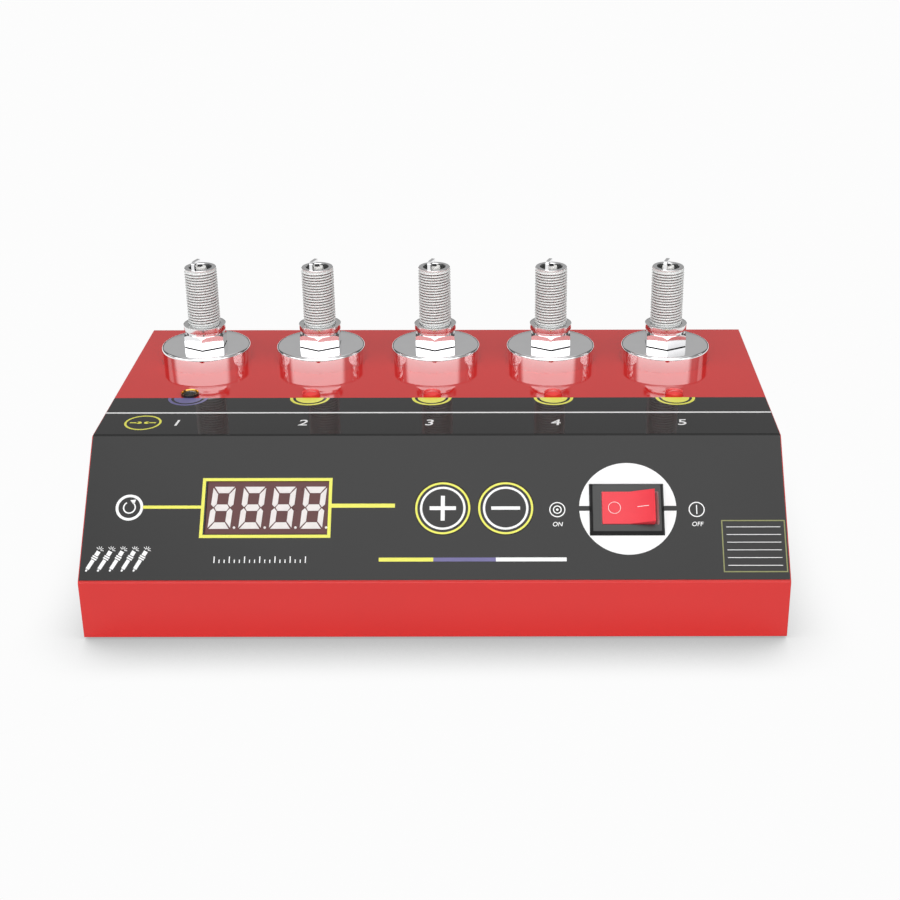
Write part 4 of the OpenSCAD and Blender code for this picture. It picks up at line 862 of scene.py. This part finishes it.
for k, spot in enumerate(spots):
    piece(f"screw_{k + 1}", SCREW, FINISHES["plated_steel"], "housing", spot,
          ["case_screws"] if k == 0 else ())
foot_x, foot_y = edge_x - BASE_GAP - FOOT_INSET, CASE_D / 2 - SHEET_T - BASE_GAP - FOOT_INSET
for k, (i, j) in enumerate(((-1, -1), (1, -1), (1, 1), (-1, 1))):
    piece(f"foot_{k + 1}", FOOT, FINISHES["foot_rubber"], "housing",
          IN_CASE @ mm_move(i * foot_x, CASE_D / 2 + j * foot_y, -FOOT_H),
          ["rubber_feet"] if k == 0 else ())

# Camera, light and floor
camera = bpy.data.objects.new("camera", bpy.data.cameras.new("camera"))
bpy.context.scene.collection.objects.link(camera)
camera.location = (0.02640, -0.64453, 0.32902)
camera.rotation_euler = (math.radians(66.083), 0, 0)
camera.rotation_euler.rotate_axis("Z", math.radians(-0.0876))
camera.data.sensor_width = 36.0
camera.data.lens = 64.4
camera.data.shift_x = -0.0573
camera.data.clip_start, camera.data.clip_end = 0.01, 100.0
bpy.context.scene.camera = camera
bpy.context.scene.view_settings.view_transform = "Standard"


class Shading:
    """Short forms for building a node tree."""

    def __init__(self, tree):
        self.tree = tree

    def add(self, kind, **settings):
        node = self.tree.nodes.new(kind)
        for name, value in settings.items():
            setattr(node, name, value)
        return node

    def feed(self, node, socket, source):
        """Sets a socket from another node's output or to a constant."""
        if isinstance(source, bpy.types.NodeSocket):
            self.tree.links.new(source, node.inputs[socket])
        else:
            node.inputs[socket].default_value = source

    def ease(self, source, low, high, start, end):
        """Smooth step from start to end as the source goes from low to high."""
        node = self.add("ShaderNodeMapRange", interpolation_type="SMOOTHSTEP")
        sockets = "Value", "From Min", "From Max", "To Min", "To Max"
        for socket, value in zip(sockets, (source, low, high, start, end)):
            self.feed(node, socket, value)
        return node.outputs["Result"]

    def fold(self, operation, *sources):
        """One value out of several, by a math operation between each and the next."""
        folded = sources[0]
        for other in sources[1:]:
            node = self.add("ShaderNodeMath", operation=operation)
            self.feed(node, 0, folded)
            self.feed(node, 1, other)
            folded = node.outputs["Value"]
        return folded

    def in_view(self):
        """One for rays from the camera and those that gloss or glass sends on, else nought."""
        path = self.add("ShaderNodeLightPath").outputs
        rays = "Is Camera Ray", "Is Glossy Ray", "Is Transmission Ray"
        return self.fold("MAXIMUM", *(path[ray] for ray in rays))

    def towards(self, coords, azimuth, elevation):
        """How far a direction points to an azimuth from the front and an elevation, as a cosine."""
        a, e = math.radians(azimuth), math.radians(elevation)
        node = self.add("ShaderNodeVectorMath", operation="DOT_PRODUCT")
        self.feed(node, 0, coords)
        self.feed(node, 1, (math.sin(a) * math.cos(e), -math.cos(a) * math.cos(e), math.sin(e)))
        return node.outputs["Value"]


# Light: strengths, directions and spreads in degrees, and the heights between which each comes in or fades
ROOM, ROOM_IN, CEILING, CEILING_IN = 0.1, (0.1, 0.3), 0.6, (0.64, 0.92)
WALL, WALL_AZIMUTH, WALL_SPREAD, WALL_SOFT, WALL_HARD = 1.95, -8, 69, 0.2, 0.05
WALL_IN, WALL_OUT = (0.1, 0.2), (0.42, 0.62)
GLOW, GLOW_SPREAD, GLOW_FULL, GLOW_IN, GLOW_OUT = 0.36, 112, 0.2, (0.1, 0.3), (0.45, 0.8)
SIDE, SIDE_AZIMUTH, SIDE_ELEVATION, SIDE_SPREAD, SIDE_SOFT = 0.8, 104, 24, 12, 0.02
BACK, BACK_ELEVATION, BACK_SPREAD, BACK_SOFT, BACK_IN = 0.332, 26, 42, 0.12, (0.22, 0.32)
SPOT, SPOT_ELEVATION, SPOT_SPREAD, SPOT_FULL = 1.8, 76, 32, 0.998
FLOOR_WHITE, HORIZON, HORIZON_SOFT = 0.975, 0.04, 0.02


def studio_world():
    """Dim room: wide bright wall in front, panels at the sides and behind, and a soft light overhead."""
    world = bpy.data.worlds.new("studio")
    bpy.context.scene.world = world
    world.use_nodes = True
    shading = Shading(world.node_tree)
    coords = shading.add("ShaderNodeTexCoord").outputs["Generated"]
    split = shading.add("ShaderNodeSeparateXYZ")
    shading.feed(split, "Vector", coords)
    height = split.outputs["Z"]

    def rise(heights, strength=1.0):
        return shading.ease(height, *heights, 0.0, strength)

    def fall(heights, strength=1.0):
        return shading.ease(height, *heights, strength, 0.0)

    def lobe(azimuth, elevation, edge, full, strength):
        return shading.ease(shading.towards(coords, azimuth, elevation), edge, full, 0.0, strength)

    spreads = WALL_SPREAD, GLOW_SPREAD, SIDE_SPREAD, BACK_SPREAD, SPOT_SPREAD
    wall_edge, glow_edge, side_edge, back_edge, spot_edge = (math.cos(math.radians(s)) for s in spreads)
    lights = [
        rise(ROOM_IN, ROOM), rise(CEILING_IN, CEILING - ROOM),
        shading.fold("MULTIPLY", lobe(WALL_AZIMUTH, 0, wall_edge - WALL_SOFT, wall_edge + WALL_HARD, WALL),
                     rise(WALL_IN), fall(WALL_OUT)),
        shading.fold("MULTIPLY", lobe(0, 0, glow_edge, GLOW_FULL, GLOW), rise(GLOW_IN), fall(GLOW_OUT)),
        lobe(0, SPOT_ELEVATION, spot_edge, SPOT_FULL, SPOT),
        shading.fold("MULTIPLY", fall((HORIZON, HORIZON + HORIZON_SOFT), FLOOR_WHITE), shading.in_view()),
        shading.fold("MULTIPLY", rise(BACK_IN),
                     lobe(180, BACK_ELEVATION, back_edge, back_edge + BACK_SOFT, BACK))]
    lights += [lobe(azimuth, SIDE_ELEVATION, side_edge, side_edge + SIDE_SOFT, SIDE)
               for azimuth in (-SIDE_AZIMUTH, SIDE_AZIMUTH)]
    back = world.node_tree.nodes["Background"]
    shading.feed(back, "Color", (1, 1, 1, 1))
    shading.feed(back, "Strength", shading.fold("ADD", *lights))


studio_world()
FLOOR_COLOUR, FLOOR_SHADE, FLOOR_HALF = (0.86, 0.86, 0.86, 1), 0.42, 20
SHADE_REACH, SHADE_LEAN, SHADE_FULL = 33, math.radians(32), 0.1


def floor():
    """Pale floor: white to the camera and in gloss, with a neutral soft shadow that falls to the front."""
    bm = bmesh.new()
    bmesh.ops.create_grid(bm, x_segments=1, y_segments=1, size=FLOOR_HALF)
    mesh = bpy.data.meshes.new("floor")
    bm.to_mesh(mesh)
    bm.free()
    made = bpy.data.objects.new("floor", mesh)
    bpy.context.scene.collection.objects.link(made)
    mat = bpy.data.materials.new("floor")
    mat.use_nodes = True
    mat.node_tree.nodes.remove(mat.node_tree.nodes["Principled BSDF"])
    shading = Shading(mat.node_tree)
    matte = shading.add("ShaderNodeBsdfDiffuse")
    shading.feed(matte, "Color", FLOOR_COLOUR)
    lean = shading.add("ShaderNodeCombineXYZ")
    shading.feed(lean, "Y", math.sin(SHADE_LEAN))
    shading.feed(lean, "Z", math.cos(SHADE_LEAN))
    shade = shading.add("ShaderNodeAmbientOcclusion", samples=16)
    shading.feed(shade, "Distance", SHADE_REACH * MM)
    shading.feed(shade, "Normal", lean.outputs["Vector"])
    glow = shading.add("ShaderNodeEmission")
    shading.feed(glow, "Strength", shading.ease(
        shade.outputs["AO"], SHADE_FULL, 1.0, FLOOR_SHADE, FLOOR_WHITE))
    either = shading.add("ShaderNodeMixShader")
    shading.feed(either, 0, shading.in_view())
    shading.feed(either, 1, matte.outputs["BSDF"])
    shading.feed(either, 2, glow.outputs["Emission"])
    shading.feed(mat.node_tree.nodes["Material Output"], "Surface", either.outputs["Shader"])
    mesh.materials.append(mat)


floor()
